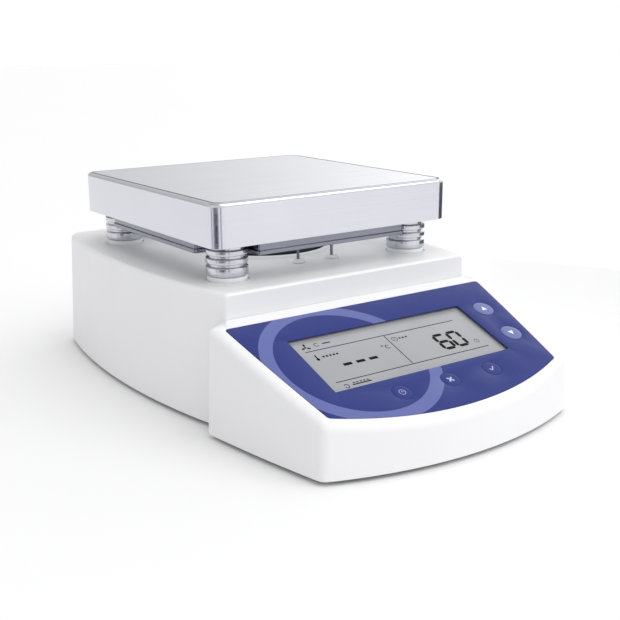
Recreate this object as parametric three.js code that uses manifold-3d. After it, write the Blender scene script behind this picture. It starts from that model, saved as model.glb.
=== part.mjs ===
// A digital hotplate magnetic stirrer. A square steel hotplate stands on four finned posts above a
// tapered housing, which holds the stirring motor, and a sloping control console joins it in front.
// Millimetres, +Z up, the console faces -Y. Inside the group everything is placed from the stirring
// axis, and the group is moved so that the origin is under the middle of the whole object.

import * as THREE from 'three';
import { mergeVertices } from 'three/addons/utils/BufferGeometryUtils.js';
import Module from 'manifold-3d';

const wasm = await Module();
wasm.setup();

// ---------------------------------------------------------------- driving dimensions

const GAP = 0.3; // air between two pieces that touch
const LEAST_RADIUS = 0.4; // left at a rounded corner that is moved inwards
const REACH = 400; // longer than the object, for cutting tools that go right through

const BASE_Z = 3; // lower edge of the housings, which is also the height of the feet
const WALL = 2.6; // moulded housing wall
const AXIS_Y = 46.65; // stirring axis, from the middle of the object's length

// Rear housing, tapered, with bowed sides
const DECK_Z = BASE_Z + 86.4;
const DECK_THICK = 3;
const BODY_HALF_WIDTH = 116.1; // at the widest point of the lower edge
const BODY_BOW_RADIUS = 546; // bow of the sides, seen from above
const BODY_BOW_Y = 4.4; // where the sides are widest
const BODY_FRONT_Y = -116.8;
const BODY_REAR_Y = 140;
const BODY_FRONT_RADIUS = 4.5;
const BODY_REAR_RADIUS = 12;
const BODY_TAPER = 3.5; // how far the walls lean in, from the lower edge to the deck
const BODY_EDGE_RADIUS = 3.5;

// Console: a wedge with a bowed front
const SEAM_Y = -113; // where the console meets the rear housing
const CONSOLE_REAR_HALF = 117.4; // half width at CONSOLE_START_Y, behind the seam
const CONSOLE_START_Y = -93;
const CONSOLE_SIDE_HALF = 112.55; // control point of the bowed side
const CONSOLE_CORNER_HALF = 100.4;
const CONSOLE_CORNER_Y = -213.3;
const CONSOLE_FRONT_Y = -233.3;
const CONSOLE_CORNER_RADIUS = 7;
const CONSOLE_TAPER = 1.6;
const CONSOLE_EDGE_RADIUS = 5;
const CONSOLE_SKIN = 3; // thickness of the sloping top

// Control face: a sloping plane. Places on it are given as x and as s, the distance down the slope
// from the rear edge of the printed overlay.
const FACE_TILT = THREE.MathUtils.degToRad(20.49);
const FACE_Y = -120.86;
const FACE_Z = BASE_Z + 67.1;
const OVERLAY_THICK = 0.8;
const OVERLAY_POCKET = 1;
const OVERLAY_REAR_HALF = 105.5;
const OVERLAY_FRONT_HALF = 92;
const OVERLAY_SIDE_LENGTH = 93;
const OVERLAY_LENGTH = 111.2;
const OVERLAY_CORNER = 2.5;
const WINDOW = { x0: -74.5, x1: 67, s0: 22.5, s1: 75 };
const GLASS = { x0: -78.5, x1: 71, s0: 19.5, s1: 78 };
const GLASS_TOP = -1.9; // depth of the display glass below the face
const GLASS_THICK = 2.2;
const BACKLIGHT_THICK = 2.3;
const BOARD = { x0: -88, x1: 91, s0: 12, s1: 95 };
const BOARD_TOP = -7;
const BOARD_THICK = 1.6;
const BOARD_POST_INSET = 5; // from the edges of the board
const BOARD_POST_RADIUS = 3.2;
const STAKE_RADIUS = 1.4; // pins of the console moulding that hold the board
const BUTTON_HEIGHT = 2.4; // switches on the board, under the keys
const PLUNGER_TOP = 3.3;

// Keys: round caps with a stem that reaches a switch on the board
const KEY_TRAVEL = 0.5;
const KEY_RISE = 0.4; // how far a cap stands above the face
const KEY_STEM_RADIUS = 2.4;
const KEYS = [
  { name: 'key_up', x: 83.8, s: 31.5, radius: 7.2, look: 'arrowKey' },
  { name: 'key_down', x: 82.7, s: 61, radius: 7.2, look: 'arrowKey' },
  { name: 'key_timer', x: -35, s: 88.4, radius: 6.4, look: 'overlay' },
  { name: 'key_exit', x: 3.5, s: 88.4, radius: 6.4, look: 'overlay' },
  { name: 'key_enter', x: 38.8, s: 88.4, radius: 6.4, look: 'overlay' },
];

// Hotplate
const PLATE_SIDE = 195;
const PLATE_TOP_Z = BASE_Z + 139.4;
const PLATE_SKIRT = 28.8;
const PLATE_CORNER = 10;
const PLATE_EDGE_RADIUS = 2.5;
const PLATE_SHEET = 1.2;
const SPREADER_SIDE = 183;
const SPREADER_THICK = 8;
const HEATER_THICK = 3;
const HEATER_OUTER = 80;
const HEATER_INNER = 24;
const SHIELD_SIDE = 182;
const SHIELD_Z = BASE_Z + 102;
const SHIELD_SHEET = 1;
const SHIELD_HEM = 3; // height of the turned lower edge of the tray
const SHIELD_HEM_OUT = 0.8;
const LEAD_HOLE_RADIUS = 2.2;
const SENSOR_RADIUS = 3;
const SENSOR_HOLE_RADIUS = 12;
const SHIELD_RIM_Z = 128;

// Posts that carry the hotplate
const POST_PLACE = 76; // from the stirring axis, both ways
const POST_RADIUS = 13.9;
const POST_CORE_RADIUS = 11.9;
const POST_CLEARANCE = 1.4; // between a post and the notch in the tray
const POST_BOTTOM_Z = DECK_Z + 3.2;
const FIN_START = 5.8; // from the foot of the post to its first groove
const FIN_PITCH = 5.7;
const GROOVE = 2;
const GROOVE_COUNT = 4;
const SEAT_RADIUS = 13.3;
const SEAT_RECESS = 1;
const SEAT_RECESS_MARGIN = 1.2;
const BOLT_RADIUS = 2.5;
const BOLT_HEAD_RADIUS = 5;
const BOLT_HEAD_HEIGHT = 4;
const BOLT_REACH = 19; // into the post

// Stirring drive
const LIP_OUTER = 52; // raised lip round the deck opening
const LIP_INNER = 48.5;
const LIP_HEIGHT = 2.5;
const SHAFT_RADIUS = 3;
const SHAFT_DEPTH = 18; // into the motor, from the top of its bracket
const CARRIER_RADIUS = 40;
const CARRIER_Z = 84;
const CARRIER_THICK = 7;
const MAGNET_RADIUS = 10.8;
const MAGNET_PLACE = 25;
const MAGNET_THICK = 8;
const CARRIER_FLOOR = 2; // below the magnets
const KEEPER = { halfLength: 37, halfWidth: 11, corner: 4, thick: 3 };
const MOTOR_RADIUS = 30;
const MOTOR_Z = 31;
const BRACKET_TOP_Z = 73;
const BRACKET_SHEET = 2;
const BRACKET_HALF_WIDTH = 48;
const BRACKET_DEPTH = 64;
const BRACKET_FLANGE = 14;
const BRACKET_BORE = 9; // for the collar of the motor
const COLLAR_HEIGHT = 2;

// Heater leads: a bushing in the deck and a stiff lead that rises from it
const LEADS = [
  { x: -11.6, y: -64.2 },
  { x: 15.7, y: -66.4 },
];
const LEAD_RADIUS = 1;
const BUSHING_RADIUS = 5;
const BUSHING_NECK = 3;
const BUSHING_RISE = 2.5;

// Base and feet
const BASE_SHEET = 2;
const FOOT_RADIUS = 10;
const REAR_FEET = { x: 78, y: 105 };
const FRONT_FEET = { x: 76, y: -192 };
const BOSS_RADIUS = 4;
const SCREW_RADIUS = 1.5;
const SCREW_HEAD_RADIUS = 3;
const SCREW_LENGTH = 15;
const BODY_BOSSES = [[90, -96], [84, 120]];
const POWER_BOARD = [-84, 22, 48, 108]; // x and y limits
const CONSOLE_BOSSES = [[101, -127]];

// Rear panel: a recess in the rear wall with the mains inlet, the fuse and the power switch
const PANEL = { x0: -46, x1: 46, z0: 16, z1: 58, y: 133 };
const PANEL_THICK = 3;
const PANEL_FLANGE = 1.6;
const PANEL_MARGIN = 3; // of the wall behind the recess
const PANEL_MID_Z = 37;
const INLET = { x: -22, halfWidth: 14, halfHeight: 10, flange: 3, depth: 20 };
const FUSE = { x: 9, radius: 6, flange: 8, depth: 22 };
const SWITCH = { x: 32, halfWidth: 7, halfHeight: 10, flange: 1.6, depth: 16 };
const ROCKER_TILT = THREE.MathUtils.degToRad(10);

// ---------------------------------------------------------------- materials

const look = (color, roughness, metalness) => (
  new THREE.MeshStandardMaterial({ color, roughness, metalness })
);

const looks = {
  housing: look(0xf1f1f4, 0.45, 0),
  steel: look(0xd6d6dc, 0.25, 1),
  sheet: look(0xa9abb0, 0.4, 1),
  aluminium: look(0xc6c8ce, 0.35, 1),
  zinc: look(0xb0b3b8, 0.35, 1),
  nylon: look(0xf6f6f6, 0.5, 0),
  overlay: look(0x3e478c, 0.4, 0),
  arrowKey: look(0x6670a8, 0.4, 0),
  display: look(0xb9bab8, 0.15, 0),
  diffuser: look(0xe8ecee, 0.6, 0),
  board: look(0x1f5c3a, 0.5, 0),
  motor: look(0x3b3d42, 0.5, 0.6),
  carrier: look(0x1d1e21, 0.55, 0),
  ferrite: look(0x35363a, 0.7, 0),
  mica: look(0xb59a6a, 0.6, 0),
  wool: look(0xe9e6dd, 0.95, 0),
  rubber: look(0x2a2a2c, 0.85, 0),
  blackPlastic: look(0x1b1b1d, 0.45, 0),
  windings: look(0x8a5a2c, 0.6, 0.2),
};

// ---------------------------------------------------------------- shape helpers

// A closed three.js geometry as a solid that can be joined and cut.
function solid(geometry) {
  const bare = geometry.clone();
  bare.deleteAttribute('normal');
  bare.deleteAttribute('uv');
  const merged = mergeVertices(bare);
  const corners = merged.index.array;
  const kept = [];
  for (let i = 0; i < corners.length; i += 3) {
    const [a, b, c] = corners.subarray(i, i + 3);
    if (a !== b && b !== c && c !== a) kept.push(a, b, c);
  }
  return new wasm.Manifold(new wasm.Mesh({
    numProp: 3,
    vertProperties: merged.attributes.position.array,
    triVerts: Uint32Array.from(kept),
  }));
}

// The solid as a three.js geometry again.
function geometryOf(body) {
  const { vertProperties, triVerts } = body.getMesh();
  const geometry = new THREE.BufferGeometry();
  geometry.setAttribute('position', new THREE.BufferAttribute(vertProperties, 3));
  geometry.setIndex(new THREE.BufferAttribute(triVerts, 1));
  geometry.computeVertexNormals();
  return geometry;
}

const join = (body, geometries) => geometries.reduce((sum, tool) => sum.add(solid(tool)), body);
const cut = (body, geometries) => geometries.reduce((rest, tool) => rest.subtract(solid(tool)), body);

// A box between two opposite corners.
function block(x0, x1, y0, y1, z0, z1) {
  const geometry = new THREE.BoxGeometry(x1 - x0, y1 - y0, z1 - z0);
  return geometry.translate((x0 + x1) / 2, (y0 + y1) / 2, (z0 + z1) / 2);
}

// An upright cylinder.
function post(radius, z0, z1, x = 0, y = 0, sides = 16) {
  const geometry = new THREE.CylinderGeometry(radius, radius, z1 - z0, sides);
  return geometry.rotateX(Math.PI / 2).translate(x, y, (z0 + z1) / 2);
}

// A turned piece on the upright axis, from [radius, z] points, anticlockwise round its section.
function turned(profile, sides = 16) {
  const points = profile.map(([radius, z]) => new THREE.Vector2(radius, z));
  return new THREE.LatheGeometry(points, sides).rotateX(Math.PI / 2);
}

// A flat piece with the given outline and holes, between two heights.
function slab(outline, z0, z1, holes = []) {
  const shape = new THREE.Shape(outline);
  shape.holes = holes.map((hole) => new THREE.Path(hole));
  const geometry = new THREE.ExtrudeGeometry(shape, { depth: z1 - z0, bevelEnabled: false });
  return geometry.translate(0, 0, z0);
}

// A closed solid from a stack of outlines with equal numbers of points, lowest first. An outline is
// anticlockwise seen from above, and its points hold x, y and z.
function stack(levels) {
  const count = levels[0].length;
  const index = [];
  for (let level = 0; level < levels.length - 1; level += 1) {
    for (let i = 0; i < count; i += 1) {
      const here = level * count + i;
      const next = level * count + ((i + 1) % count);
      index.push(here, next, next + count, here, next + count, here + count);
    }
  }
  const top = (levels.length - 1) * count;
  for (const [a, b, c] of THREE.ShapeUtils.triangulateShape(levels[0], [])) {
    index.push(a, c, b, top + a, top + b, top + c);
  }
  const geometry = new THREE.BufferGeometry().setFromPoints(levels.flat());
  geometry.setIndex(index);
  return geometry;
}

// Rounds the corners of a polygon. A corner is [x, y, radius], and the radius may be left out.
function rounded(corners, steps = 3) {
  const outline = [];
  corners.forEach(([x, y, radius = 0], i) => {
    const corner = new THREE.Vector2(x, y);
    if (radius === 0) {
      outline.push(corner);
      return;
    }
    const toPrevious = new THREE.Vector2(...corners.at(i - 1)).sub(corner).normalize();
    const toNext = new THREE.Vector2(...corners[(i + 1) % corners.length]).sub(corner).normalize();
    const half = Math.acos(toPrevious.dot(toNext)) / 2;
    const centre = toPrevious.clone().add(toNext).normalize().multiplyScalar(radius / Math.sin(half));
    centre.add(corner);
    const start = corner.clone().addScaledVector(toPrevious, radius / Math.tan(half));
    const turn = Math.sign(toNext.cross(toPrevious)) * (Math.PI - 2 * half);
    for (let step = 0; step <= steps; step += 1) {
      outline.push(start.clone().rotateAround(centre, (turn * step) / steps));
    }
  });
  return outline;
}

// Moves every point of an anticlockwise outline inwards by a distance.
function inset(outline, distance) {
  return outline.map((point, i) => {
    const before = point.clone().sub(outline.at(i - 1)).normalize();
    const after = outline[(i + 1) % outline.length].clone().sub(point).normalize();
    const inward = new THREE.Vector2(-before.y - after.y, before.x + after.x);
    return point.clone().addScaledVector(inward, distance / (1 + before.dot(after)));
  });
}

// Moves the sides of a polygon inwards. Its rounded corners lose some of their radius.
function shrunk(corners, distance, loss = distance) {
  const moved = inset(corners.map(([x, y]) => new THREE.Vector2(x, y)), distance);
  return moved.map(({ x, y }, i) => {
    const radius = corners[i][2] ?? 0;
    return [x, y, radius > 0 ? Math.max(radius - loss, LEAST_RADIUS) : 0];
  });
}

// A tapered solid with a rounded top edge. The height of the top is a function of the place.
function crowned(corners, { bottom, top, taper, radius, steps = 2 }) {
  const level = (distance, height) => rounded(shrunk(corners, distance, Math.max(0, distance - taper)))
    .map(({ x, y }) => new THREE.Vector3(x, y, height(x, y)));
  const levels = [level(0, () => bottom)];
  for (let step = 0; step <= steps; step += 1) {
    const angle = (step / steps) * (Math.PI / 2);
    const sunk = radius * (1 - Math.sin(angle));
    levels.push(level(taper + radius * (1 - Math.cos(angle)), (x, y) => top(x, y) - sunk));
  }
  return stack(levels);
}

// Corners of a rounded square round the stirring axis.
function square(side, radius) {
  const half = side / 2;
  return [
    [half, -half, radius],
    [half, half, radius],
    [-half, half, radius],
    [-half, -half, radius],
  ];
}

// A square whose corners are cut away square, to clear the posts.
function notchedSquare(side, notch) {
  const half = side / 2;
  const corner = [[half, notch], [notch, notch], [notch, half]];
  const outline = [];
  for (let turns = 0; turns < 4; turns += 1) {
    for (const [x, y] of corner) {
      outline.push(new THREE.Vector2(x, y).rotateAround(new THREE.Vector2(), (turns * Math.PI) / 2));
    }
  }
  return outline;
}

function circle(x, y, radius, sides = 16) {
  return new THREE.Path().absarc(x, y, radius, 0, 2 * Math.PI).getPoints(sides).slice(0, -1);
}

const flat = (height) => () => height;

// ---------------------------------------------------------------- the assembly

const stirrer = new THREE.Group();
stirrer.position.y = AXIS_Y;

// Local frame of the control face: x across, y up the slope, z out of the face.
const face = new THREE.Group();
face.position.set(0, FACE_Y, FACE_Z);
face.rotation.x = FACE_TILT;
face.updateMatrix();
stirrer.add(face);

const onFace = (geometry) => geometry.applyMatrix4(face.matrix);

function add(name, geometry, material, parent = stirrer) {
  const mesh = new THREE.Mesh(geometry, material);
  mesh.name = name;
  parent.add(mesh);
  return mesh;
}

// ---------------------------------------------------------------- hotplate

function hotplate() {
  const half = PLATE_SIDE / 2;
  const corners = square(PLATE_SIDE, PLATE_CORNER);
  const skirtZ = PLATE_TOP_Z - PLATE_SKIRT;
  const pan = crowned(corners, {
    bottom: skirtZ,
    top: flat(PLATE_TOP_Z),
    taper: 0,
    radius: PLATE_EDGE_RADIUS,
  });
  const inside = rounded(shrunk(corners, PLATE_SHEET));
  const hollow = slab(inside, skirtZ - 1, PLATE_TOP_Z - PLATE_SHEET);
  add('top_plate', geometryOf(cut(solid(pan), [hollow])), looks.steel);

  const spreaderTop = PLATE_TOP_Z - PLATE_SHEET - GAP;
  const spreaderZ = spreaderTop - SPREADER_THICK;
  const spreaderCorner = PLATE_CORNER - (half - SPREADER_SIDE / 2);
  const spreader = slab(rounded(square(SPREADER_SIDE, spreaderCorner)), spreaderZ, spreaderTop);
  add('heat_spreader', spreader, looks.aluminium);

  const heaterTop = spreaderZ - GAP;
  const heaterZ = heaterTop - HEATER_THICK;
  const heaterOutline = circle(0, 0, HEATER_OUTER, 28);
  const heater = slab(heaterOutline, heaterZ, heaterTop, [circle(0, 0, HEATER_INNER)]);
  add('heating_element', heater, looks.mica);

  const trayOutline = notchedSquare(SHIELD_SIDE, POST_PLACE - POST_RADIUS - POST_CLEARANCE);
  const trayFloorTop = SHIELD_Z + SHIELD_SHEET;
  const hem = slab(inset(trayOutline, -SHIELD_HEM_OUT), SHIELD_Z, SHIELD_Z + SHIELD_HEM);
  const tray = join(solid(slab(trayOutline, SHIELD_Z, SHIELD_RIM_Z)), [hem]);
  const trayHollow = slab(inset(trayOutline, SHIELD_SHEET), trayFloorTop, SHIELD_RIM_Z + 1);
  const leadHoles = LEADS.map(({ x, y }) => (
    post(LEAD_HOLE_RADIUS, SHIELD_Z - 1, trayFloorTop + 1, x, y, 8)
  ));
  add('shield_tray', geometryOf(cut(tray, [trayHollow, ...leadHoles])), looks.sheet);

  const woolOutline = inset(trayOutline, SHIELD_SHEET + GAP);
  const woolHoles = LEADS.map(({ x, y }) => circle(x, y, LEAD_RADIUS + 2 * GAP, 8));
  woolHoles.push(circle(0, 0, SENSOR_HOLE_RADIUS));
  const wool = slab(woolOutline, trayFloorTop + GAP, heaterZ - GAP, woolHoles);
  add('insulation_pad', wool, looks.wool);

  const sensor = post(SENSOR_RADIUS, trayFloorTop + 5, spreaderZ - GAP, 0, 0, 12);
  add('temperature_sensor', sensor, looks.zinc);
  return { spreaderZ, heaterZ };
}

// ---------------------------------------------------------------- posts

function finnedPost(topZ) {
  const boreTop = POST_BOTTOM_Z + BOLT_REACH + 1;
  const bore = BOLT_RADIUS + GAP;
  const profile = [[0, boreTop], [bore, boreTop], [bore, POST_BOTTOM_Z], [POST_RADIUS, POST_BOTTOM_Z]];
  for (let groove = 0; groove < GROOVE_COUNT; groove += 1) {
    const low = POST_BOTTOM_Z + FIN_START + groove * FIN_PITCH;
    const high = low + GROOVE;
    profile.push([POST_RADIUS, low], [POST_CORE_RADIUS, low]);
    profile.push([POST_CORE_RADIUS, high], [POST_RADIUS, high]);
  }
  profile.push([POST_RADIUS, topZ], [0, topZ]);
  return turned(profile, 14);
}

function seatWasher() {
  const hole = BOLT_RADIUS + GAP;
  const bottom = DECK_Z - SEAT_RECESS + GAP;
  const top = POST_BOTTOM_Z - GAP;
  const profile = [[hole, bottom], [SEAT_RADIUS, bottom], [SEAT_RADIUS, top], [hole, top], [hole, bottom]];
  return turned(profile, 14);
}

function deckBolt() {
  const headTop = DECK_Z - DECK_THICK - GAP;
  const headBottom = headTop - BOLT_HEAD_HEIGHT;
  const tip = POST_BOTTOM_Z + BOLT_REACH;
  return turned([
    [0, headBottom], [BOLT_HEAD_RADIUS, headBottom], [BOLT_HEAD_RADIUS, headTop],
    [BOLT_RADIUS, headTop], [BOLT_RADIUS, tip], [0, tip],
  ], 8);
}

function posts(topZ) {
  const places = [[-1, -1], [1, -1], [1, 1], [-1, 1]];
  places.forEach(([alongX, alongY], i) => {
    const pieces = [
      add(`plate_post_${i + 1}`, finnedPost(topZ), looks.aluminium),
      add(`post_seat_${i + 1}`, seatWasher(), looks.nylon),
      add(`post_bolt_${i + 1}`, deckBolt(), looks.zinc),
    ];
    pieces.forEach((piece) => piece.position.set(alongX * POST_PLACE, alongY * POST_PLACE, 0));
  });
}

// ---------------------------------------------------------------- heater leads

function heaterLeads(topZ) {
  const hole = LEAD_RADIUS + GAP;
  const bottom = DECK_Z - DECK_THICK - 2;
  const seat = DECK_Z + GAP;
  const top = DECK_Z + BUSHING_RISE;
  const bevel = 0.8;
  const leadBottom = bottom - 6;
  LEADS.forEach(({ x, y }, i) => {
    const bushing = turned([
      [hole, bottom], [BUSHING_NECK, bottom], [BUSHING_NECK, seat], [BUSHING_RADIUS, seat],
      [BUSHING_RADIUS, top - bevel], [BUSHING_RADIUS - bevel, top], [hole, top], [hole, bottom],
    ], 12);
    add(`lead_bushing_${i + 1}`, bushing, looks.nylon).position.set(x, y, 0);
    const lead = post(LEAD_RADIUS, leadBottom, topZ, 0, 0, 8);
    add(`heater_lead_${i + 1}`, lead, looks.zinc).position.set(x, y, 0);
  });
}

// ---------------------------------------------------------------- rear housing

// Corners of the rear housing at its lower edge.
function bodyCorners() {
  const halfWidth = (y) => BODY_HALF_WIDTH - BODY_BOW_RADIUS
    + Math.sqrt(BODY_BOW_RADIUS ** 2 - (y - BODY_BOW_Y) ** 2);
  const side = [];
  const steps = 6;
  for (let i = 0; i <= steps; i += 1) {
    const y = THREE.MathUtils.lerp(BODY_FRONT_Y, BODY_REAR_Y, i / steps);
    const radius = { 0: BODY_FRONT_RADIUS, [steps]: BODY_REAR_RADIUS }[i] ?? 0;
    side.push([halfWidth(y), y, radius]);
  }
  const otherSide = side.map(([x, y, radius]) => [-x, y, radius]).reverse();
  return [...side, ...otherSide];
}

const bothSides = (places) => places.flatMap(([x, y]) => [[-x, y], [x, y]]);

function screwBosses(places, topZ) {
  const bottom = BASE_Z + BASE_SHEET + 2 * GAP;
  return bothSides(places).map(([x, y]) => post(BOSS_RADIUS, bottom, topZ, x, y, 8));
}

function screwHoles(places) {
  const top = BASE_Z + SCREW_LENGTH + 1;
  return bothSides(places).map(([x, y]) => post(SCREW_RADIUS + GAP, BASE_Z, top, x, y, 8));
}

function rearHousing() {
  const corners = bodyCorners();
  const underside = DECK_Z - DECK_THICK;
  const inFront = (y) => block(-REACH, REACH, -REACH, y, 0, REACH);
  const outer = cut(solid(crowned(corners, {
    bottom: BASE_Z,
    top: flat(DECK_Z),
    taper: BODY_TAPER,
    radius: BODY_EDGE_RADIUS,
  })), [inFront(SEAM_Y + GAP)]);
  const hollow = cut(solid(crowned(shrunk(corners, WALL), {
    bottom: BASE_Z - 1,
    top: flat(underside),
    taper: BODY_TAPER,
    radius: 1.5,
    steps: 1,
  })), [inFront(SEAM_Y + GAP + WALL)]);

  const { x0, x1, z0, z1 } = PANEL;
  const panelBack = block(
    x0 - PANEL_MARGIN,
    x1 + PANEL_MARGIN,
    PANEL.y - PANEL_THICK,
    BODY_REAR_Y,
    z0 - PANEL_MARGIN,
    z1 + PANEL_MARGIN,
  );
  const inside = [...screwBosses(BODY_BOSSES, DECK_Z - 1), panelBack]
    .reduce((sum, tool) => sum.add(solid(tool).intersect(outer)), outer.subtract(hollow));

  const lipTop = DECK_Z + LIP_HEIGHT;
  const lip = turned([
    [LIP_INNER, underside], [LIP_OUTER, underside], [LIP_OUTER, lipTop],
    [LIP_INNER, lipTop], [LIP_INNER, underside],
  ], 32);
  const deckHole = (radius, x, y, sides) => post(radius, underside - 1, DECK_Z + 1, x, y, sides);
  const tools = [deckHole(LIP_INNER + GAP, 0, 0, 32)];
  for (const x of [-POST_PLACE, POST_PLACE]) {
    for (const y of [-POST_PLACE, POST_PLACE]) {
      tools.push(post(SEAT_RADIUS + SEAT_RECESS_MARGIN, DECK_Z - SEAT_RECESS, DECK_Z + 1, x, y, 14));
      tools.push(deckHole(BOLT_RADIUS + GAP, x, y, 8));
    }
  }
  for (const { x, y } of LEADS) tools.push(deckHole(BUSHING_NECK + GAP, x, y, 10));
  tools.push(...screwHoles(BODY_BOSSES), ...rearPanelTools(), cablePassage());
  return geometryOf(join(cut(inside, tools), [lip]));
}

// The passage for the wires between the two housings.
function cablePassage() {
  return block(-17, 17, SEAM_Y - 8, SEAM_Y + 8, 24, 44);
}

// ---------------------------------------------------------------- rear panel

// The openings that the panel's three fittings go through, and the recess they sit in.
function rearPanelTools() {
  const behind = PANEL.y - PANEL_THICK - 1;
  const openings = [INLET, SWITCH].map(({ x, halfWidth, halfHeight }) => {
    const [halfX, halfZ] = [halfWidth + GAP, halfHeight + GAP];
    return block(x - halfX, x + halfX, behind, BODY_REAR_Y, PANEL_MID_Z - halfZ, PANEL_MID_Z + halfZ);
  });
  const fuseRadius = FUSE.radius + GAP;
  return [
    block(PANEL.x0, PANEL.x1, PANEL.y, BODY_REAR_Y + 1, PANEL.z0, PANEL.z1),
    new THREE.CylinderGeometry(fuseRadius, fuseRadius, 12, 12).translate(FUSE.x, PANEL.y, PANEL_MID_Z),
    ...openings,
  ];
}

// A panel fitting: a flange on the panel and a body behind it.
function panelFitting({ halfWidth, halfHeight, flange, depth }) {
  const seat = PANEL.y + GAP;
  const [halfX, halfZ] = [halfWidth + flange, halfHeight + flange];
  const plate = block(-halfX, halfX, seat, seat + PANEL_FLANGE, -halfZ, halfZ);
  const body = block(-halfWidth, halfWidth, seat - depth, seat + 0.5, -halfHeight, halfHeight);
  return join(solid(plate), [body]);
}

function mainsInlet() {
  const mouth = PANEL.y + GAP + PANEL_FLANGE;
  const cavity = block(-12, 12, mouth - 16, mouth + 1, -8.3, 8.3);
  const pins = [[-7, -0.5], [7, -0.5], [0, 3.5]].map(([x, z]) => (
    block(x - 1, x + 1, mouth - 17, mouth - 2, z - 2, z + 2)
  ));
  const inlet = join(cut(panelFitting(INLET), [cavity]), pins);
  add('mains_inlet', geometryOf(inlet), looks.blackPlastic).position.set(INLET.x, 0, PANEL_MID_Z);
}

function fuseHolder() {
  const { radius, flange, depth } = FUSE;
  const capTop = 3.2;
  const holder = turned([
    [0, -depth], [radius, -depth], [radius, 0], [flange, 0],
    [flange, capTop - 1.2], [flange - 1.5, capTop], [0, capTop],
  ]);
  const slot = block(-radius + 2, radius - 2, -0.7, 0.7, capTop - 1.2, capTop + 1);
  const mesh = add('fuse_holder', geometryOf(cut(solid(holder), [slot])), looks.blackPlastic);
  mesh.rotation.x = -Math.PI / 2;
  mesh.position.set(FUSE.x, PANEL.y + GAP, PANEL_MID_Z);
}

function powerSwitch() {
  const frontY = PANEL.y + GAP + PANEL_FLANGE;
  const well = block(-5.4, 5.4, frontY - 9, frontY + 1, -8.4, 8.4);
  const frame = cut(panelFitting(SWITCH), [well]);
  add('switch_frame', geometryOf(frame), looks.blackPlastic).position.set(SWITCH.x, 0, PANEL_MID_Z);

  const halfHeight = 7;
  const width = 10;
  const section = [
    [-halfHeight, -2], [0, -6], [halfHeight, -2], [halfHeight, 1], [0, 0], [-halfHeight, 1],
  ].map(([x, y]) => new THREE.Vector2(x, y));
  const rocker = new THREE.ExtrudeGeometry(new THREE.Shape(section), { depth: width, bevelEnabled: false })
    .translate(0, 0, -width / 2);
  // The section's x becomes height and its y becomes depth out of the panel.
  rocker.applyMatrix4(new THREE.Matrix4().makeBasis(
    new THREE.Vector3(0, 0, 1),
    new THREE.Vector3(0, 1, 0),
    new THREE.Vector3(-1, 0, 0),
  ));
  const mesh = add('switch_rocker', rocker, looks.blackPlastic);
  mesh.rotation.x = ROCKER_TILT;
  mesh.position.set(SWITCH.x, frontY, PANEL_MID_Z);
}

// ---------------------------------------------------------------- console

const faceTop = (y) => FACE_Z + Math.tan(FACE_TILT) * (y - FACE_Y);

// Corners of the console at its lower edge.
function consoleCorners() {
  const side = new THREE.QuadraticBezierCurve(
    new THREE.Vector2(CONSOLE_CORNER_HALF, CONSOLE_CORNER_Y),
    new THREE.Vector2(CONSOLE_SIDE_HALF, (CONSOLE_START_Y + CONSOLE_CORNER_Y) / 2),
    new THREE.Vector2(CONSOLE_REAR_HALF, CONSOLE_START_Y),
  ).getPoints(4);
  const sag = CONSOLE_CORNER_Y - CONSOLE_FRONT_Y;
  const bow = (CONSOLE_CORNER_HALF ** 2 + sag ** 2) / (2 * sag);
  const sweep = Math.asin(CONSOLE_CORNER_HALF / bow);
  const steps = 10;
  const front = [];
  for (let i = 1; i < steps; i += 1) {
    const angle = THREE.MathUtils.lerp(-sweep, sweep, i / steps);
    front.push([bow * Math.sin(angle), CONSOLE_FRONT_Y + bow * (1 - Math.cos(angle))]);
  }
  const right = side.map(({ x, y }, i) => [x, y, i === 0 ? CONSOLE_CORNER_RADIUS : 0]);
  const left = right.map(([x, y, radius]) => [-x, y, radius]).reverse();
  return [...front, ...right, ...left];
}

function overlayOutline(margin = 0) {
  const side = new THREE.QuadraticBezierCurve(
    new THREE.Vector2(OVERLAY_FRONT_HALF, -OVERLAY_SIDE_LENGTH),
    new THREE.Vector2((OVERLAY_REAR_HALF + OVERLAY_FRONT_HALF) / 2 + 1.2, -OVERLAY_SIDE_LENGTH / 2),
    new THREE.Vector2(OVERLAY_REAR_HALF, 0),
  ).getPoints(4);
  const sag = OVERLAY_LENGTH - OVERLAY_SIDE_LENGTH;
  const bow = (OVERLAY_FRONT_HALF ** 2 + sag ** 2) / (2 * sag);
  const sweep = Math.asin(OVERLAY_FRONT_HALF / bow);
  const steps = 8;
  const front = [];
  for (let i = 1; i < steps; i += 1) {
    const angle = THREE.MathUtils.lerp(-sweep, sweep, i / steps);
    front.push([bow * Math.sin(angle), -OVERLAY_LENGTH + bow * (1 - Math.cos(angle))]);
  }
  const last = side.length - 1;
  const right = side.map(({ x, y }, i) => [x, y, i === 0 || i === last ? OVERLAY_CORNER : 0]);
  const left = right.map(([x, y, radius]) => [-x, y, radius]).reverse();
  return inset(rounded([...front, ...right, ...left]), -margin);
}

// A rectangle on the face, from its x and s limits.
function faceRectangle({ x0, x1, s0, s1 }, margin = 0, radius = 0) {
  const [left, right, low, high] = [x0 - margin, x1 + margin, -s1 - margin, -s0 + margin];
  return rounded([[left, low, radius], [right, low, radius], [right, high, radius], [left, high, radius]]);
}

// Where the posts of the moulding hold the board.
function boardCorners() {
  const across = [BOARD.x0 + BOARD_POST_INSET, BOARD.x1 - BOARD_POST_INSET];
  const down = [BOARD.s0 + BOARD_POST_INSET, BOARD.s1 - BOARD_POST_INSET];
  return across.flatMap((x) => down.map((s) => [x, -s]));
}

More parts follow.
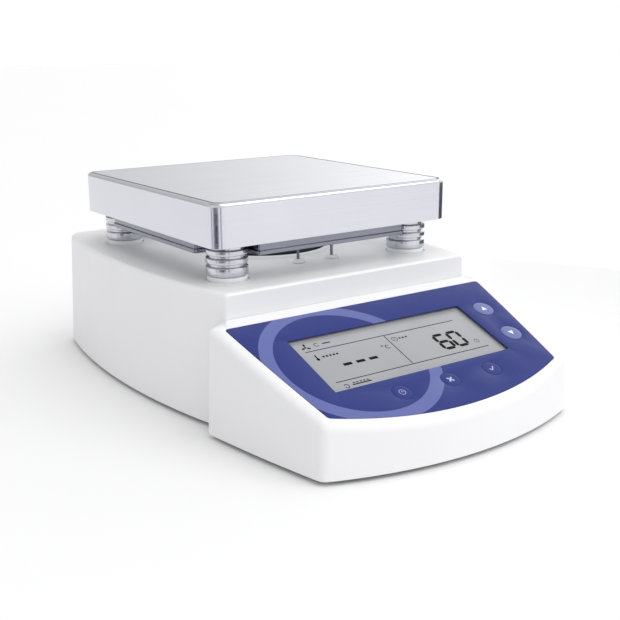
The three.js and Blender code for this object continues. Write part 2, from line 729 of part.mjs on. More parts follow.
function consoleHousing() {
  const corners = consoleCorners();
  const behind = (y) => block(-REACH, REACH, y, REACH, 0, REACH);
  const outer = cut(solid(crowned(corners, {
    bottom: BASE_Z,
    top: (x, y) => faceTop(y),
    taper: CONSOLE_TAPER,
    radius: CONSOLE_EDGE_RADIUS,
  })), [behind(SEAM_Y)]);
  const hollow = cut(solid(crowned(shrunk(corners, WALL), {
    bottom: BASE_Z - 1,
    top: (x, y) => faceTop(y) - CONSOLE_SKIN / Math.cos(FACE_TILT),
    taper: CONSOLE_TAPER,
    radius: CONSOLE_EDGE_RADIUS - WALL,
    steps: 1,
  })), [behind(SEAM_Y - WALL)]);

  const boardPosts = boardCorners().flatMap(([x, y]) => [
    onFace(post(BOARD_POST_RADIUS, BOARD_TOP + GAP, -CONSOLE_SKIN + 1, x, y, 8)),
    onFace(post(STAKE_RADIUS, BOARD_TOP - BOARD_THICK - 1, BOARD_TOP + 1, x, y, 8)),
  ]);
  const bosses = screwBosses(CONSOLE_BOSSES, DECK_Z);
  const inside = [...bosses, ...boardPosts]
    .reduce((sum, tool) => sum.add(solid(tool).intersect(outer)), outer.subtract(hollow));

  const tools = [
    onFace(slab(overlayOutline(GAP), -OVERLAY_POCKET, 30)),
    onFace(slab(faceRectangle(GLASS, 2 * GAP), -12, 1)),
    cablePassage(),
    ...screwHoles(CONSOLE_BOSSES),
  ];
  for (const { x, s, radius } of KEYS) {
    tools.push(onFace(post(radius + GAP, -OVERLAY_POCKET - KEY_TRAVEL - GAP, 1, x, -s)));
    tools.push(onFace(post(KEY_STEM_RADIUS + 0.5, -CONSOLE_SKIN - 1, 1, x, -s, 8)));
  }
  return geometryOf(cut(inside, tools));
}

function controlFace() {
  const overlayZ = -OVERLAY_POCKET + GAP;
  const holes = KEYS.map(({ x, s, radius }) => circle(x, -s, radius + GAP));
  holes.push(faceRectangle(WINDOW));
  const overlay = slab(overlayOutline(), overlayZ, overlayZ + OVERLAY_THICK, holes);
  add('control_overlay', overlay, looks.overlay, face);

  for (const { name, x, s, radius, look: keyLook } of KEYS) {
    const stemEnd = BOARD_TOP + PLUNGER_TOP + KEY_TRAVEL + GAP;
    const cap = turned([
      [0, stemEnd], [KEY_STEM_RADIUS, stemEnd], [KEY_STEM_RADIUS, overlayZ], [radius, overlayZ],
      [radius, KEY_RISE - 0.3], [radius - 0.5, KEY_RISE], [0, KEY_RISE],
    ]);
    add(name, cap, looks[keyLook], face).position.set(x, -s, 0);
  }

  const glassBottom = GLASS_TOP - GLASS_THICK;
  add('display_glass', slab(faceRectangle(GLASS), glassBottom, GLASS_TOP), looks.display, face);
  const lightTop = glassBottom - GAP;
  const light = slab(faceRectangle(GLASS, 0, 1), lightTop - BACKLIGHT_THICK, lightTop);
  add('display_backlight', light, looks.diffuser, face);
}

// The board with the parts that are soldered to it: a switch under each key and a connector.
function controlBoard() {
  const bottom = BOARD_TOP - BOARD_THICK;
  const holes = boardCorners().map(([x, y]) => circle(x, y, STAKE_RADIUS + GAP, 8));
  const board = solid(slab(faceRectangle(BOARD), bottom, BOARD_TOP, holes));
  const switches = KEYS.flatMap(({ x, s }) => [
    block(x - 3, x + 3, -s - 3, -s + 3, BOARD_TOP - 0.5, BOARD_TOP + BUTTON_HEIGHT),
    post(1.6, BOARD_TOP + BUTTON_HEIGHT - 0.5, BOARD_TOP + PLUNGER_TOP, x, -s, 10),
  ]);
  const connector = block(-20, 20, -34, -26, bottom - 8, bottom + 0.5);
  const chip = block(-9, 9, -62, -44, bottom - 1.8, bottom + 0.5);
  add('control_board', geometryOf(join(board, [...switches, connector, chip])), looks.board, face);
}

// ---------------------------------------------------------------- stirring drive

function motorAndBracket() {
  const sheet = BRACKET_SHEET;
  const floor = BASE_Z + BASE_SHEET + 2 * GAP;
  const half = BRACKET_HALF_WIDTH;
  const foot = half + BRACKET_FLANGE;
  const hat = [
    [-foot, floor], [-half, floor], [-half, BRACKET_TOP_Z - sheet], [half, BRACKET_TOP_Z - sheet],
    [half, floor], [foot, floor], [foot, floor + sheet], [half + sheet, floor + sheet],
    [half + sheet, BRACKET_TOP_Z], [-half - sheet, BRACKET_TOP_Z], [-half - sheet, floor + sheet],
    [-foot, floor + sheet],
  ].map(([x, z]) => new THREE.Vector2(x, z));
  const extrusion = { depth: BRACKET_DEPTH, bevelEnabled: false };
  const bracket = new THREE.ExtrudeGeometry(new THREE.Shape(hat), extrusion)
    .rotateX(Math.PI / 2)
    .translate(0, BRACKET_DEPTH / 2, 0);
  const bored = cut(solid(bracket), [post(BRACKET_BORE, BRACKET_TOP_Z - 10, BRACKET_TOP_Z + 1)]);
  add('motor_bracket', geometryOf(bored), looks.sheet);

  const top = BRACKET_TOP_Z - sheet - GAP;
  const bore = SHAFT_RADIUS + GAP;
  const collar = BRACKET_BORE - GAP;
  const collarTop = top + COLLAR_HEIGHT;
  const boreBottom = BRACKET_TOP_Z - SHAFT_DEPTH - sheet - GAP;
  const motor = turned([
    [0, MOTOR_Z], [MOTOR_RADIUS - 3, MOTOR_Z], [MOTOR_RADIUS, MOTOR_Z + 3], [MOTOR_RADIUS, top - 2],
    [MOTOR_RADIUS - 2, top], [collar, top], [collar, collarTop], [bore, collarTop],
    [bore, boreBottom], [0, boreBottom],
  ], 20);
  add('motor', motor, looks.motor);
}

function rotor() {
  const carrierTop = CARRIER_Z + CARRIER_THICK;
  const boreTop = carrierTop - 2;
  const shaft = post(SHAFT_RADIUS, BRACKET_TOP_Z - SHAFT_DEPTH, boreTop - GAP, 0, 0, 12);
  add('motor_shaft', shaft, looks.steel);

  const bore = SHAFT_RADIUS + GAP;
  const magnets = [-MAGNET_PLACE, MAGNET_PLACE];
  const pocketFloor = CARRIER_Z + CARRIER_FLOOR;
  const disc = turned([
    [0, boreTop], [bore, boreTop], [bore, CARRIER_Z], [CARRIER_RADIUS, CARRIER_Z],
    [CARRIER_RADIUS, carrierTop - 1], [CARRIER_RADIUS - 1, carrierTop], [0, carrierTop],
  ], 24);
  const pockets = magnets.map((x) => post(MAGNET_RADIUS + GAP, pocketFloor, carrierTop + 1, x));
  add('magnet_carrier', geometryOf(cut(solid(disc), pockets)), looks.carrier);

  const magnetZ = pocketFloor + GAP;
  magnets.forEach((x, i) => {
    add(`magnet_${i + 1}`, post(MAGNET_RADIUS, magnetZ, magnetZ + MAGNET_THICK, x), looks.ferrite);
  });

  const { halfLength, halfWidth, corner, thick } = KEEPER;
  const keeperTop = CARRIER_Z - GAP;
  const keeperOutline = rounded([
    [-halfLength, -halfWidth, corner],
    [halfLength, -halfWidth, corner],
    [halfLength, halfWidth, corner],
    [-halfLength, halfWidth, corner],
  ]);
  const keeper = slab(keeperOutline, keeperTop - thick, keeperTop, [circle(0, 0, bore, 12)]);
  add('keeper_bar', keeper, looks.zinc);
}

// ---------------------------------------------------------------- base, feet and supply

function screw(name, x, y) {
  const headBottom = BASE_Z - 1.6;
  const tip = BASE_Z + SCREW_LENGTH;
  const shape = turned([
    [0, headBottom], [SCREW_HEAD_RADIUS - 1, headBottom], [SCREW_HEAD_RADIUS, headBottom + 0.8],
    [SCREW_HEAD_RADIUS, BASE_Z], [SCREW_RADIUS, BASE_Z], [SCREW_RADIUS, tip], [0, tip],
  ], 8);
  add(name, shape, looks.zinc).position.set(x, y, 0);
}

function basePlates() {
  const bottom = BASE_Z + GAP;
  const sheets = [
    {
      name: 'base_plate',
      corners: bodyCorners(),
      trim: [block(-REACH, REACH, -REACH, SEAM_Y + WALL + 3 * GAP, 0, REACH)],
      bosses: BODY_BOSSES,
      screws: 'base_screw',
    },
    {
      name: 'console_base',
      corners: consoleCorners(),
      trim: [block(-REACH, REACH, SEAM_Y - WALL - 2 * GAP, REACH, 0, REACH)],
      bosses: CONSOLE_BOSSES,
      screws: 'console_screw',
    },
  ];
  for (const { name, corners, trim, bosses, screws } of sheets) {
    const places = bothSides(bosses);
    const holes = places.map(([x, y]) => circle(x, y, SCREW_RADIUS + GAP, 8));
    const outline = rounded(shrunk(corners, WALL + 2 * GAP, WALL));
    const sheet = slab(outline, bottom, bottom + BASE_SHEET, holes);
    add(name, geometryOf(cut(solid(sheet), trim)), looks.sheet);
    places.forEach(([x, y], i) => screw(`${screws}_${i + 1}`, x, y));
  }
}

function feet() {
  const places = bothSides([[FRONT_FEET.x, FRONT_FEET.y], [REAR_FEET.x, REAR_FEET.y]]);
  places.forEach(([x, y], i) => {
    const profile = [[0, 0], [FOOT_RADIUS - 1, 0], [FOOT_RADIUS, 1], [FOOT_RADIUS, BASE_Z], [0, BASE_Z]];
    const foot = turned(profile);
    add(`foot_${i + 1}`, foot, looks.rubber).position.set(x, y, 0);
  });
}

// The board of the supply stands on four legs. It carries a heat sink, a relay, two capacitors and a
// terminal block, and the transformer is beside it.
function powerSupply() {
  const floor = BASE_Z + BASE_SHEET + 2 * GAP;
  const bottom = floor + 5.4;
  const top = bottom + BOARD_THICK;
  const [x0, x1, y0, y1] = POWER_BOARD;
  const onBoard = (left, right, front, rear, height) => (
    block(left, right, front, rear, top - 0.5, top + height)
  );
  const fitted = [
    onBoard(-78, -58, 58, 98, 9),
    onBoard(-46, -20, 54, 66, 12),
    onBoard(-4, 14, 60, 96, 8),
    post(6, top - 0.5, top + 14, -36, 84, 12),
    post(6, top - 0.5, top + 14, -20, 84, 12),
  ];
  const legs = [x0 + 4, x1 - 4].flatMap((x) => (
    [y0 + 4, y1 - 4].map((y) => post(2.5, floor, bottom + 0.5, x, y, 8))
  ));
  const board = solid(block(x0, x1, y0, y1, bottom, top));
  add('power_board', geometryOf(join(board, [...fitted, ...legs])), looks.board);

  const core = block(34, 86, 58, 100, floor, floor + 36);
  const coil = block(42, 78, 48, 110, floor + 7, floor + 29);
  add('transformer', geometryOf(join(solid(core), [coil])), looks.windings);
}

const { spreaderZ, heaterZ } = hotplate();
posts(spreaderZ - GAP);
heaterLeads(heaterZ - GAP);
add('rear_housing', rearHousing(), looks.housing);
mainsInlet();
fuseHolder();
powerSwitch();
add('console_housing', consoleHousing(), looks.housing);
controlFace();
controlBoard();
motorAndBracket();
rotor();
basePlates();
feet();
powerSupply();

export default stirrer;
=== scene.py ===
"""Looks for the hotplate magnetic stirrer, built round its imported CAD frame. Sizes in the tables below are
in millimetres, as in the CAD source, and meshes are made in metres. The console faces -Y and +Z is up."""

import math

import bmesh
import bpy
from mathutils import Matrix, Vector

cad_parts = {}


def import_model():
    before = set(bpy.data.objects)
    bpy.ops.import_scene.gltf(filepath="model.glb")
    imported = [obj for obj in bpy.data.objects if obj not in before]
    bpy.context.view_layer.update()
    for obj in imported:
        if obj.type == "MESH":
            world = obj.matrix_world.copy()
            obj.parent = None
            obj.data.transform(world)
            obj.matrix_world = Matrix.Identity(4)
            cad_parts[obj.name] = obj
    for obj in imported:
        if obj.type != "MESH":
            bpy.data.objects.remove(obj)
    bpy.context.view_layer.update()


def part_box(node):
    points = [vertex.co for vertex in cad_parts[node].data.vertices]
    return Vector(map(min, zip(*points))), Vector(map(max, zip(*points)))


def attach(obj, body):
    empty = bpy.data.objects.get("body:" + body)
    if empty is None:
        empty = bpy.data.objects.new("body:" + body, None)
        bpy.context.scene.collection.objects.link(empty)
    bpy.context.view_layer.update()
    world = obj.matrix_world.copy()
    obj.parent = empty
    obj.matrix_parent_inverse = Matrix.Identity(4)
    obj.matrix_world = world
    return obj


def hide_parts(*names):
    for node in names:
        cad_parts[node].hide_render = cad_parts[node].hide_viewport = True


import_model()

MM = 0.001


def low(node):
    """Lowest corner of a CAD node, in millimetres."""
    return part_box(node)[0] / MM


def high(node):
    """Highest corner of a CAD node, in millimetres."""
    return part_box(node)[1] / MM


def middle(node):
    return (low(node) + high(node)) / 2


def spot(node):
    """Where a node's middle is, seen from above."""
    centre = middle(node)
    return centre.x, centre.y


def heights(node):
    return low(node).z, high(node).z


# ---------------------------------------------------------------- sizes

AXIS_Y = middle("top_plate").y
BASE_Z = low("rear_housing").z
WALL = 2.6
GAP = 0.3
SOFT = 0.3  # small bevel on sheet and moulded edges
LEAST_RADIUS = 0.4
CUT_REACH = 5.0  # how far a cutting tool passes beyond the wall that it cuts
WELD = 0.002  # points closer than this become one
SHARP_ANGLE = math.radians(30)
CORNERS = range(1, 5)  # numbers of the posts, their bolts, the feet and the case screws
PAIR = (1, 2)  # numbers of the leads, the magnets and the console screws

LIP_HEIGHT = 2.5
LIP_OUTER = 52.0
LIP_INNER = 48.5
DECK_Z = high("rear_housing").z - LIP_HEIGHT
DECK_THICK = 3.0
BODY_HALF_WIDTH = high("rear_housing").x
BODY_BOW_RADIUS = 546.0
BODY_BOW_Y = AXIS_Y + 4.4
BODY_FRONT_Y = AXIS_Y - 116.8
BODY_REAR_Y = high("rear_housing").y
BODY_TAPER = 3.5
BODY_EDGE = 3.5
BODY_INNER_EDGE = 2.0
BODY_FRONT_RADIUS = 4.5
BODY_REAR_RADIUS = 12.0

SEAM_Y = high("console_housing").y
CONSOLE_FRONT_Y = low("console_housing").y
CONSOLE_START_Y = SEAM_Y + 20
CONSOLE_REAR_HALF = 117.4
CONSOLE_SIDE_HALF = 112.55
CONSOLE_CORNER = (100.4, CONSOLE_FRONT_Y + 20)
CONSOLE_BOW = 20.0
CONSOLE_FRONT_RADIUS = 7.0
CONSOLE_SEAM_RADIUS = 2.5
CONSOLE_TAPER = 1.6
CONSOLE_EDGE = 5.0
CONSOLE_INNER_EDGE = 3.0
CONSOLE_SKIN = 3.0
SEAM_POINTS = (101, 99, 97, 95, 93, 91, 60, 30)  # x of the outline's points along the seam
SHOULDER = (104.0, 110.0)  # x where the console's edge leaves the rear housing

TILT = math.radians(20.49)
FACE_Y = AXIS_Y - 120.86
FACE_Z = BASE_Z + 67.1
FACE = Matrix.Translation(Vector((0, FACE_Y, FACE_Z)) * MM) @ Matrix.Rotation(TILT, 4, "X")
OVERLAY_REAR_HALF = 105.5
OVERLAY_FRONT_HALF = 92.0
OVERLAY_SIDE = 93.0
OVERLAY_LENGTH = 111.2
OVERLAY_SWELL = 7.95
OVERLAY_FRONT_RADIUS = 2.5
OVERLAY_REAR_RADIUS = 2.0

# Areas on the face are left, right, and the distances of the upper and lower edge down the slope.
WINDOW = (-74.5, 67.0, 22.5, 75.0)
GLASS = (-78.5, 71.0, 19.5, 78.0)
BOARD_AREA = (-88.0, 91.0, 12.0, 95.0)

# Heights above the sloping face.
FILM_TOP = 0.1
FILM_LOW = -0.7
FILM_SEAT = -1.0
KEY_WELL = -1.8  # floor of the wells that the keys sink into
KEY_FOOT = -2.9
GLASS_TOP = -1.9
GLASS_THICK = 2.2
LIGHT_THICK = 2.3
BOARD_TOP = -7.0
BOARD_THICK = 1.6

KEY_STEM = 2.4
STEM_GAP = 0.5
KEY_SLIT = 0.12
FILM_EDGE = 0.12
FILM_MARGIN = 0.2
ARROW_RISE = 0.38
PLAIN_RISE = 0.14

PANEL_SEAT_Y = AXIS_Y + 133.3
PANEL_MID_Z = 37.0
PANEL_RECESS = (-46.0, 46.0, 16.0, 58.0)  # left, right, bottom and top
PANEL_BACKING = 3.0
PANEL_MERGE = 4.2  # how far the backing reaches into the rear wall
FLANGE = 1.6
INLET_BODY = (14.0, 10.0)  # half width and half height
SWITCH_BODY = (7.0, 10.0)
FUSE_HOLE = 6.3
ROCKER_TILT = math.radians(10)

POST_PLACE = 76.0  # distance of the posts from the stirring axis, along x and along y
POST_RADIUS = 13.9
POST_CORE = 11.9
FIN_START = 5.8
FIN_PITCH = 5.7
GROOVE = 2.0
GROOVES = 4
SEAT_RADIUS = 13.3
SEAT_BORE = 3.0
SEAT_RECESS = 1.0
SEAT_RECESS_MARGIN = 1.2
BOLT_HOLE = 2.8
BUSHING_BORE = 1.3
BUSHING_NECK = 3.0
BUSHING_RADIUS = 5.0
SHAFT_HOLE = 3.3

# Each key's x, its distance down the slope and its radius.
KEYS = {
    "key_up": (83.8, 31.5, 7.3),
    "key_down": (82.7, 61.0, 7.3),
    "key_timer": (-35.0, 88.4, 6.5),
    "key_exit": (3.5, 88.4, 6.5),
    "key_enter": (38.8, 88.4, 6.5),
}
ARROWS = {"key_up": 1, "key_down": -1}


# ---------------------------------------------------------------- mesh helpers

def rounded(corners, steps=10):
    """Rounds a polygon's corners. A corner is (x, y) or (x, y, radius)."""
    outline = []
    for i, corner in enumerate(corners):
        here = Vector(corner[:2])
        radius = corner[2] if len(corner) > 2 else 0
        if not radius:
            outline.append(here)
            continue
        back = (Vector(corners[i - 1][:2]) - here).normalized()
        on = (Vector(corners[(i + 1) % len(corners)][:2]) - here).normalized()
        half = back.angle(on) / 2
        centre = here + (back + on).normalized() * radius / math.sin(half)
        start = here + back * radius / math.tan(half) - centre
        side = 1 if back.x * on.y - back.y * on.x < 0 else -1
        for step in range(steps + 1):
            turn = side * (math.pi - 2 * half) * step / steps
            outline.append(centre + Matrix.Rotation(turn, 2) @ start)
    return outline


def inset(outline, distance):
    """Moves the points of an anticlockwise outline inwards. The distance may be one for each point."""
    moved = []
    count = len(outline)
    for i, here in enumerate(outline):
        before = (here - outline[i - 1]).normalized()
        after = (outline[(i + 1) % count] - here).normalized()
        inward = Vector((-before.y - after.y, before.x + after.x)) / (1 + before.dot(after))
        reach = distance[i] if isinstance(distance, list) else distance
        moved.append(here + inward * reach)
    return moved


def shrunk_corners(corners, distance, radius_loss=0.0):
    """A polygon's corners moved inwards. Each keeps the rest of its radius."""
    moved = inset([Vector(c[:2]) for c in corners], distance)
    radii = [max(LEAST_RADIUS, c[2] - radius_loss) if len(c) > 2 and c[2] else 0 for c in corners]
    return [(point.x, point.y, radius) for point, radius in zip(moved, radii)]


def shrunk(corners, distance, radius_loss=0.0, steps=10):
    """A rounded polygon moved inwards. Its corners are moved first and rounded afterwards."""
    return rounded(shrunk_corners(corners, distance, radius_loss), steps)


def rectangle(x0, x1, y0, y1, radius=0.0, steps=5):
    """A rounded rectangle, anticlockwise from its lower left corner."""
    return rounded([(x0, y0, radius), (x1, y0, radius), (x1, y1, radius), (x0, y1, radius)], steps)


def clipped(outline, y, side):
    """The part of an outline beyond a line across it at y, for side 1, or before the line, for side -1."""
    kept = []
    for here, before in zip(outline, outline[-1:] + outline[:-1]):
        inside, was_inside = (here.y - y) * side >= 0, (before.y - y) * side >= 0
        if inside != was_inside:
            kept.append(before.lerp(here, (y - before.y) / (here.y - before.y)))
        if inside:
            kept.append(here)
    return kept


def circle(radius, x=0.0, y=0.0, count=48):
    steps = [2 * math.pi * i / count for i in range(count)]
    return [Vector((x + radius * math.cos(a), y + radius * math.sin(a))) for a in steps]


def arc(start, end, sag, steps):
    """Points of a circular arc from start to end that bulges to the right of its path by sag."""
    start, end = Vector(start), Vector(end)
    chord = end - start
    half = chord.length / 2
    radius = (half ** 2 + sag ** 2) / (2 * sag)
    aside = Vector((chord.y, -chord.x)).normalized()
    centre = (start + end) / 2 + aside * (sag - radius)
    sweep = 2 * math.asin(half / radius)
    return [centre + Matrix.Rotation(sweep * i / steps, 2) @ (start - centre) for i in range(steps + 1)]


def bezier(a, b, c, steps):
    ts = [i / steps for i in range(steps + 1)]
    return [Vector(a) * (1 - t) ** 2 + Vector(b) * 2 * t * (1 - t) + Vector(c) * t * t for t in ts]


def mirrored(right, front=(), rear=()):
    """A whole anticlockwise outline: points along its front, its right side, its rear and its left side."""
    left = [(-p[0], *p[1:]) for p in reversed(right)]
    return [*front, *right, *rear, *left]


class Builder:
    """Collects rings of points into one mesh. Points are millimetres in the object's own frame."""

    def __init__(self):
        self.bm = bmesh.new()

    def ring(self, points):
        return [self.bm.verts.new(Vector(p) * MM) for p in points]

    def level(self, outline, z):
        """A ring of an outline's points at one height."""
        return self.ring([(p.x, p.y, z) for p in outline])

    def bridge(self, lower, upper):
        """Joins two rings with four-sided faces."""
        for i, j in zip(range(len(lower)), [*range(1, len(lower)), 0]):
            self.bm.faces.new((lower[i], lower[j], upper[j], upper[i]))

    def stack(self, rings):
        for lower, upper in zip(rings, rings[1:]):
            self.bridge(lower, upper)
        return rings

    def walls(self, levels):
        """Rings joined one to the next, from (outline, height) pairs."""
        return self.stack([self.level(outline, z) for outline, z in levels])

    def close(self, rings):
        """Caps the first and the last ring."""
        self.fill(rings[0])
        self.fill(rings[-1])

    def fill(self, *rings):
        """Fills a flat region between an outer ring and the rings of its holes."""
        edges = []
        for ring in rings:
            for i, vert in enumerate(ring):
                pair = (ring[i - 1], vert)
                edges.append(self.bm.edges.get(pair) or self.bm.edges.new(pair))
        bmesh.ops.triangle_fill(self.bm, edges=edges, use_beauty=True, use_dissolve=False)

    def faces_between(self, rings):
        """Numbers of the four-sided faces whose corners are all on the given rings."""
        self.bm.faces.index_update()
        verts = {vert for ring in rings for vert in ring}
        return [face.index for face in self.bm.faces if len(face.verts) == 4 and verts.issuperset(face.verts)]

    def turned(self, profile, x=0.0, y=0.0, count=64):
        """Rings of a turned surface about an upright axis, from (radius, z) points."""
        return self.walls([(circle(r, x, y, count), z) for r, z in profile])

    def finish(self, name, material, matrix=None):
        bmesh.ops.remove_doubles(self.bm, verts=self.bm.verts, dist=WELD * MM)
        bmesh.ops.recalc_face_normals(self.bm, faces=self.bm.faces)
        mesh = bpy.data.meshes.new(name)
        self.bm.to_mesh(mesh)
        self.bm.free()
        shade(mesh)
        mesh.materials.append(material)
        piece = bpy.data.objects.new(name, mesh)
        bpy.context.scene.collection.objects.link(piece)
        if matrix is not None:
            piece.matrix_world = matrix
        return piece


def shade(mesh):
    """Shades smoothly across shallow edges and leaves the others sharp."""
    for polygon in mesh.polygons:
        polygon.use_smooth = True
    mesh.set_sharp_from_angle(angle=SHARP_ANGLE)


def stand_for(piece, body, slot, *nodes):
    """Puts a piece on a body and hides the CAD nodes that it is shown instead of. The slot is not used."""
    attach(piece, body)
    if nodes:
        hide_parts(*nodes)


def lathe(name, material, profile, count=64, centre=(0, 0), closed=False, matrix=None):
    """A turned piece from (radius, z) points. An open profile is capped at both ends."""
    builder = Builder()
    rings = builder.turned(profile, *centre, count)
    if closed:
        builder.bridge(rings[-1], rings[0])
    else:
        builder.close(rings)
    return builder.finish(name, material, matrix)


def quarter(centre, radius, start, end, steps=5):
    """Points of a rounding in a profile, from one angle in degrees to another."""
    angles = [math.radians(start + (end - start) * i / steps) for i in range(steps + 1)]
    return [(centre[0] + radius * math.cos(a), centre[1] + radius * math.sin(a)) for a in angles]


def slab(name, material, outline, z0, z1, edge=0.3, holes=(), matrix=None):
    """A flat piece with holes and softened edges."""
    builder = Builder()
    bottoms, tops = [], []
    for loop, inward in [(outline, 1)] + [(hole, -1) for hole in holes]:
        levels = [(inset(loop, inward * edge), z0), (loop, z0 + edge), (loop, z1 - edge)]
        for step in (1, 2, 3):
            angle = step * math.pi / 6
            drawn = inset(loop, inward * edge * (1 - math.cos(angle)))
            levels.append((drawn, z1 - edge * (1 - math.sin(angle))))
        rings = builder.walls(levels)
        bottoms.append(rings[0])
        tops.append(rings[-1])
    builder.fill(*bottoms)
    builder.fill(*tops)
    return builder.finish(name, material, matrix)


def subtract(piece, tools, operation="DIFFERENCE"):
    """Cuts closed tools from a piece, or joins them to it, and applies the result."""
    for tool in tools:
        cutter = piece.modifiers.new("cut", "BOOLEAN")
        cutter.operation = operation
        cutter.solver = "EXACT"
        cutter.object = tool
    bpy.context.view_layer.update()
    cut = bpy.data.meshes.new_from_object(piece.evaluated_get(bpy.context.evaluated_depsgraph_get()))
    piece.modifiers.clear()
    while len(cut.materials) > 1:
        cut.materials.pop()
    for polygon in cut.polygons:
        polygon.material_index = 0
    piece.data = cut
    shade(cut)
    for tool in tools:
        bpy.data.objects.remove(tool)


TOOL_LOOK = bpy.data.materials.new("tool")


def block(x0, x1, y0, y1, z0, z1):
    """A plain box, used as a cutting tool."""
    builder = Builder()
    outline = rectangle(x0, x1, y0, y1)
    builder.close(builder.walls([(outline, z0), (outline, z1)]))
    return builder.finish("tool", TOOL_LOOK)


# ---------------------------------------------------------------- materials

def add_node(tree, kind, inputs=(), **settings):
    """A node with its settings and inputs. An input is a value or another node's output."""
    made = tree.nodes.new("ShaderNode" + kind)
    for setting, value in settings.items():
        setattr(made, setting, value)
    for socket, value in dict(inputs).items():
        if isinstance(value, bpy.types.NodeSocket):
            tree.links.new(value, made.inputs[socket])
        else:
            made.inputs[socket].default_value = value
    return made


class Look:
    """A node material: a Principled shader with helpers for procedural detail."""

    def __init__(self, name, color, roughness, metallic=0.0, **sockets):
        self.material = bpy.data.materials.new(name)
        self.material.use_nodes = True
        self.tree = self.material.node_tree
        self.links = self.tree.links
        self.shader = self.tree.nodes["Principled BSDF"]
        self.color = (*color, 1.0)
        self.roughness = roughness
        self.shader.inputs["Base Color"].default_value = self.color
        self.shader.inputs["Roughness"].default_value = roughness
        self.shader.inputs["Metallic"].default_value = metallic
        for socket, value in sockets.items():
            self.shader.inputs[socket.replace("_", " ")].default_value = value
        self.place = self.node("TexCoord").outputs["Object"]

    def node(self, kind, inputs=(), **settings):
        return add_node(self.tree, kind, inputs, **settings)

    def noise(self, scale, detail=3.0, stretch=(1, 1, 1)):
        mapping = self.node("Mapping", {"Vector": self.place, "Scale": stretch})
        noise = self.node("TexNoise", {"Vector": mapping.outputs[0], "Scale": scale, "Detail": detail})
        return noise.outputs["Fac"]

    def remap(self, value, low_out, high_out, low_in=0.3, high_in=0.7):
        """Maps a value from one range to another, and holds it within them."""
        inputs = {"Value": value, 1: low_in, 2: high_in, 3: low_out, 4: high_out}
        return self.node("MapRange", inputs).outputs["Result"]

    def math(self, operation, a, b=0.0, c=0.0):
        return self.node("Math", {0: a, 1: b, 2: c}, operation=operation).outputs[0]

    def mix_colors(self, share, first, second):
        """Makes the base colour a mix of two, by a share that changes from place to place."""
        mix = self.node("Mix", {0: share, 6: first, 7: second}, data_type="RGBA")
        self.links.new(mix.outputs[2], self.shader.inputs["Base Color"])

    def vary_color(self, value, amount):
        """Lightens and darkens the base colour a little."""
        darker = tuple(c * (1 - amount) for c in self.color[:3]) + (1.0,)
        lighter = tuple(min(1.0, c * (1 + amount)) for c in self.color[:3]) + (1.0,)
        self.mix_colors(self.remap(value, 0, 1), darker, lighter)

    def vary_roughness(self, value, amount):
        spread = self.remap(value, self.roughness - amount, self.roughness + amount)
        self.links.new(spread, self.shader.inputs["Roughness"])

    def bump(self, value, depth):
        """Adds relief of the given depth in millimetres."""
        bump = self.node("Bump", {"Height": value, "Distance": depth * MM})
        self.links.new(bump.outputs[0], self.shader.inputs["Normal"])


def moulded(name, color, roughness=0.42, grain=1400, depth=0.02, **sockets):
    """Moulded plastic with a fine spark-eroded grain and slow changes of tone."""
    look = Look(name, color, roughness, **sockets)
    look.vary_color(look.noise(9), 0.012)
    look.vary_roughness(look.noise(60), 0.05)
    look.bump(look.noise(grain, 2), depth)
    return look.material


def brushed(name, color, roughness, stretch, depth=0.004, anisotropic=0.0):
    """Metal with fine parallel brush marks. The marks run along the axis with the small stretch."""
    look = Look(name, color, roughness, 1.0, Anisotropic=anisotropic)
    marks = look.noise(1, 4, stretch)
    look.vary_color(look.noise(14), 0.02)
    look.vary_roughness(marks, 0.06)
    look.bump(marks, depth)
    return look.material


def turned_metal(name, color, roughness):
    """Turned metal with fine rings round its upright axis and a little stain."""
    look = Look(name, color, roughness, 1.0)
    rings = look.noise(1, 3, (60, 60, 4200))
    look.vary_color(look.noise(120), 0.08)
    look.vary_roughness(rings, 0.1)
    look.bump(rings, 0.012)
    return look.material


def speckled(name, color, roughness, scale, amount, metallic=0.0, depth=0.02):
    """A surface with an even speckle, such as cast, sintered or pressed material."""
    look = Look(name, color, roughness, metallic)
    specks = look.noise(scale, 5)
    look.vary_color(specks, amount)
    look.vary_roughness(look.noise(scale / 6), 0.08)
    look.bump(specks, depth)
    return look.material


FILM_BLUE = (0.034, 0.047, 0.205)
RING_BLUE = (0.135, 0.158, 0.39, 1.0)
RING_CENTRE = (-46.0, -52.0)
RING_RADIUS = 53.0
RING_WIDTH = 8.8
RING_BLUR = 0.12


def printed_overlay(name):
    """Blue printed film. A plain lighter ring crosses its left half; x and y are the sheet's own."""
    look = Look(name, FILM_BLUE, 0.34, Specular_IOR_Level=0.1)
    x, y = RING_CENTRE
    shift = look.node("Mapping", {"Vector": look.place, "Location": (-x * MM, -y * MM, 0)})
    flatten = look.node("VectorMath", {0: shift.outputs[0], 1: (1, 1, 0)}, operation="MULTIPLY")
    distance = look.node("VectorMath", {0: flatten.outputs[0]}, operation="LENGTH").outputs["Value"]
    off_line = look.math("ABSOLUTE", look.math("SUBTRACT", distance, RING_RADIUS * MM))
    half, blur = RING_WIDTH / 2 * MM, RING_BLUR * MM
    band = look.remap(off_line, 1, 0, half - blur, half + blur)
    grain = look.remap(look.noise(900, 2), -0.02, 0.02)
    tone = look.math("ADD", band, grain)
    look.mix_colors(tone, look.color, RING_BLUE)
    look.vary_roughness(look.noise(220), 0.05)
    look.bump(look.noise(2200, 2), 0.008)
    return look.material


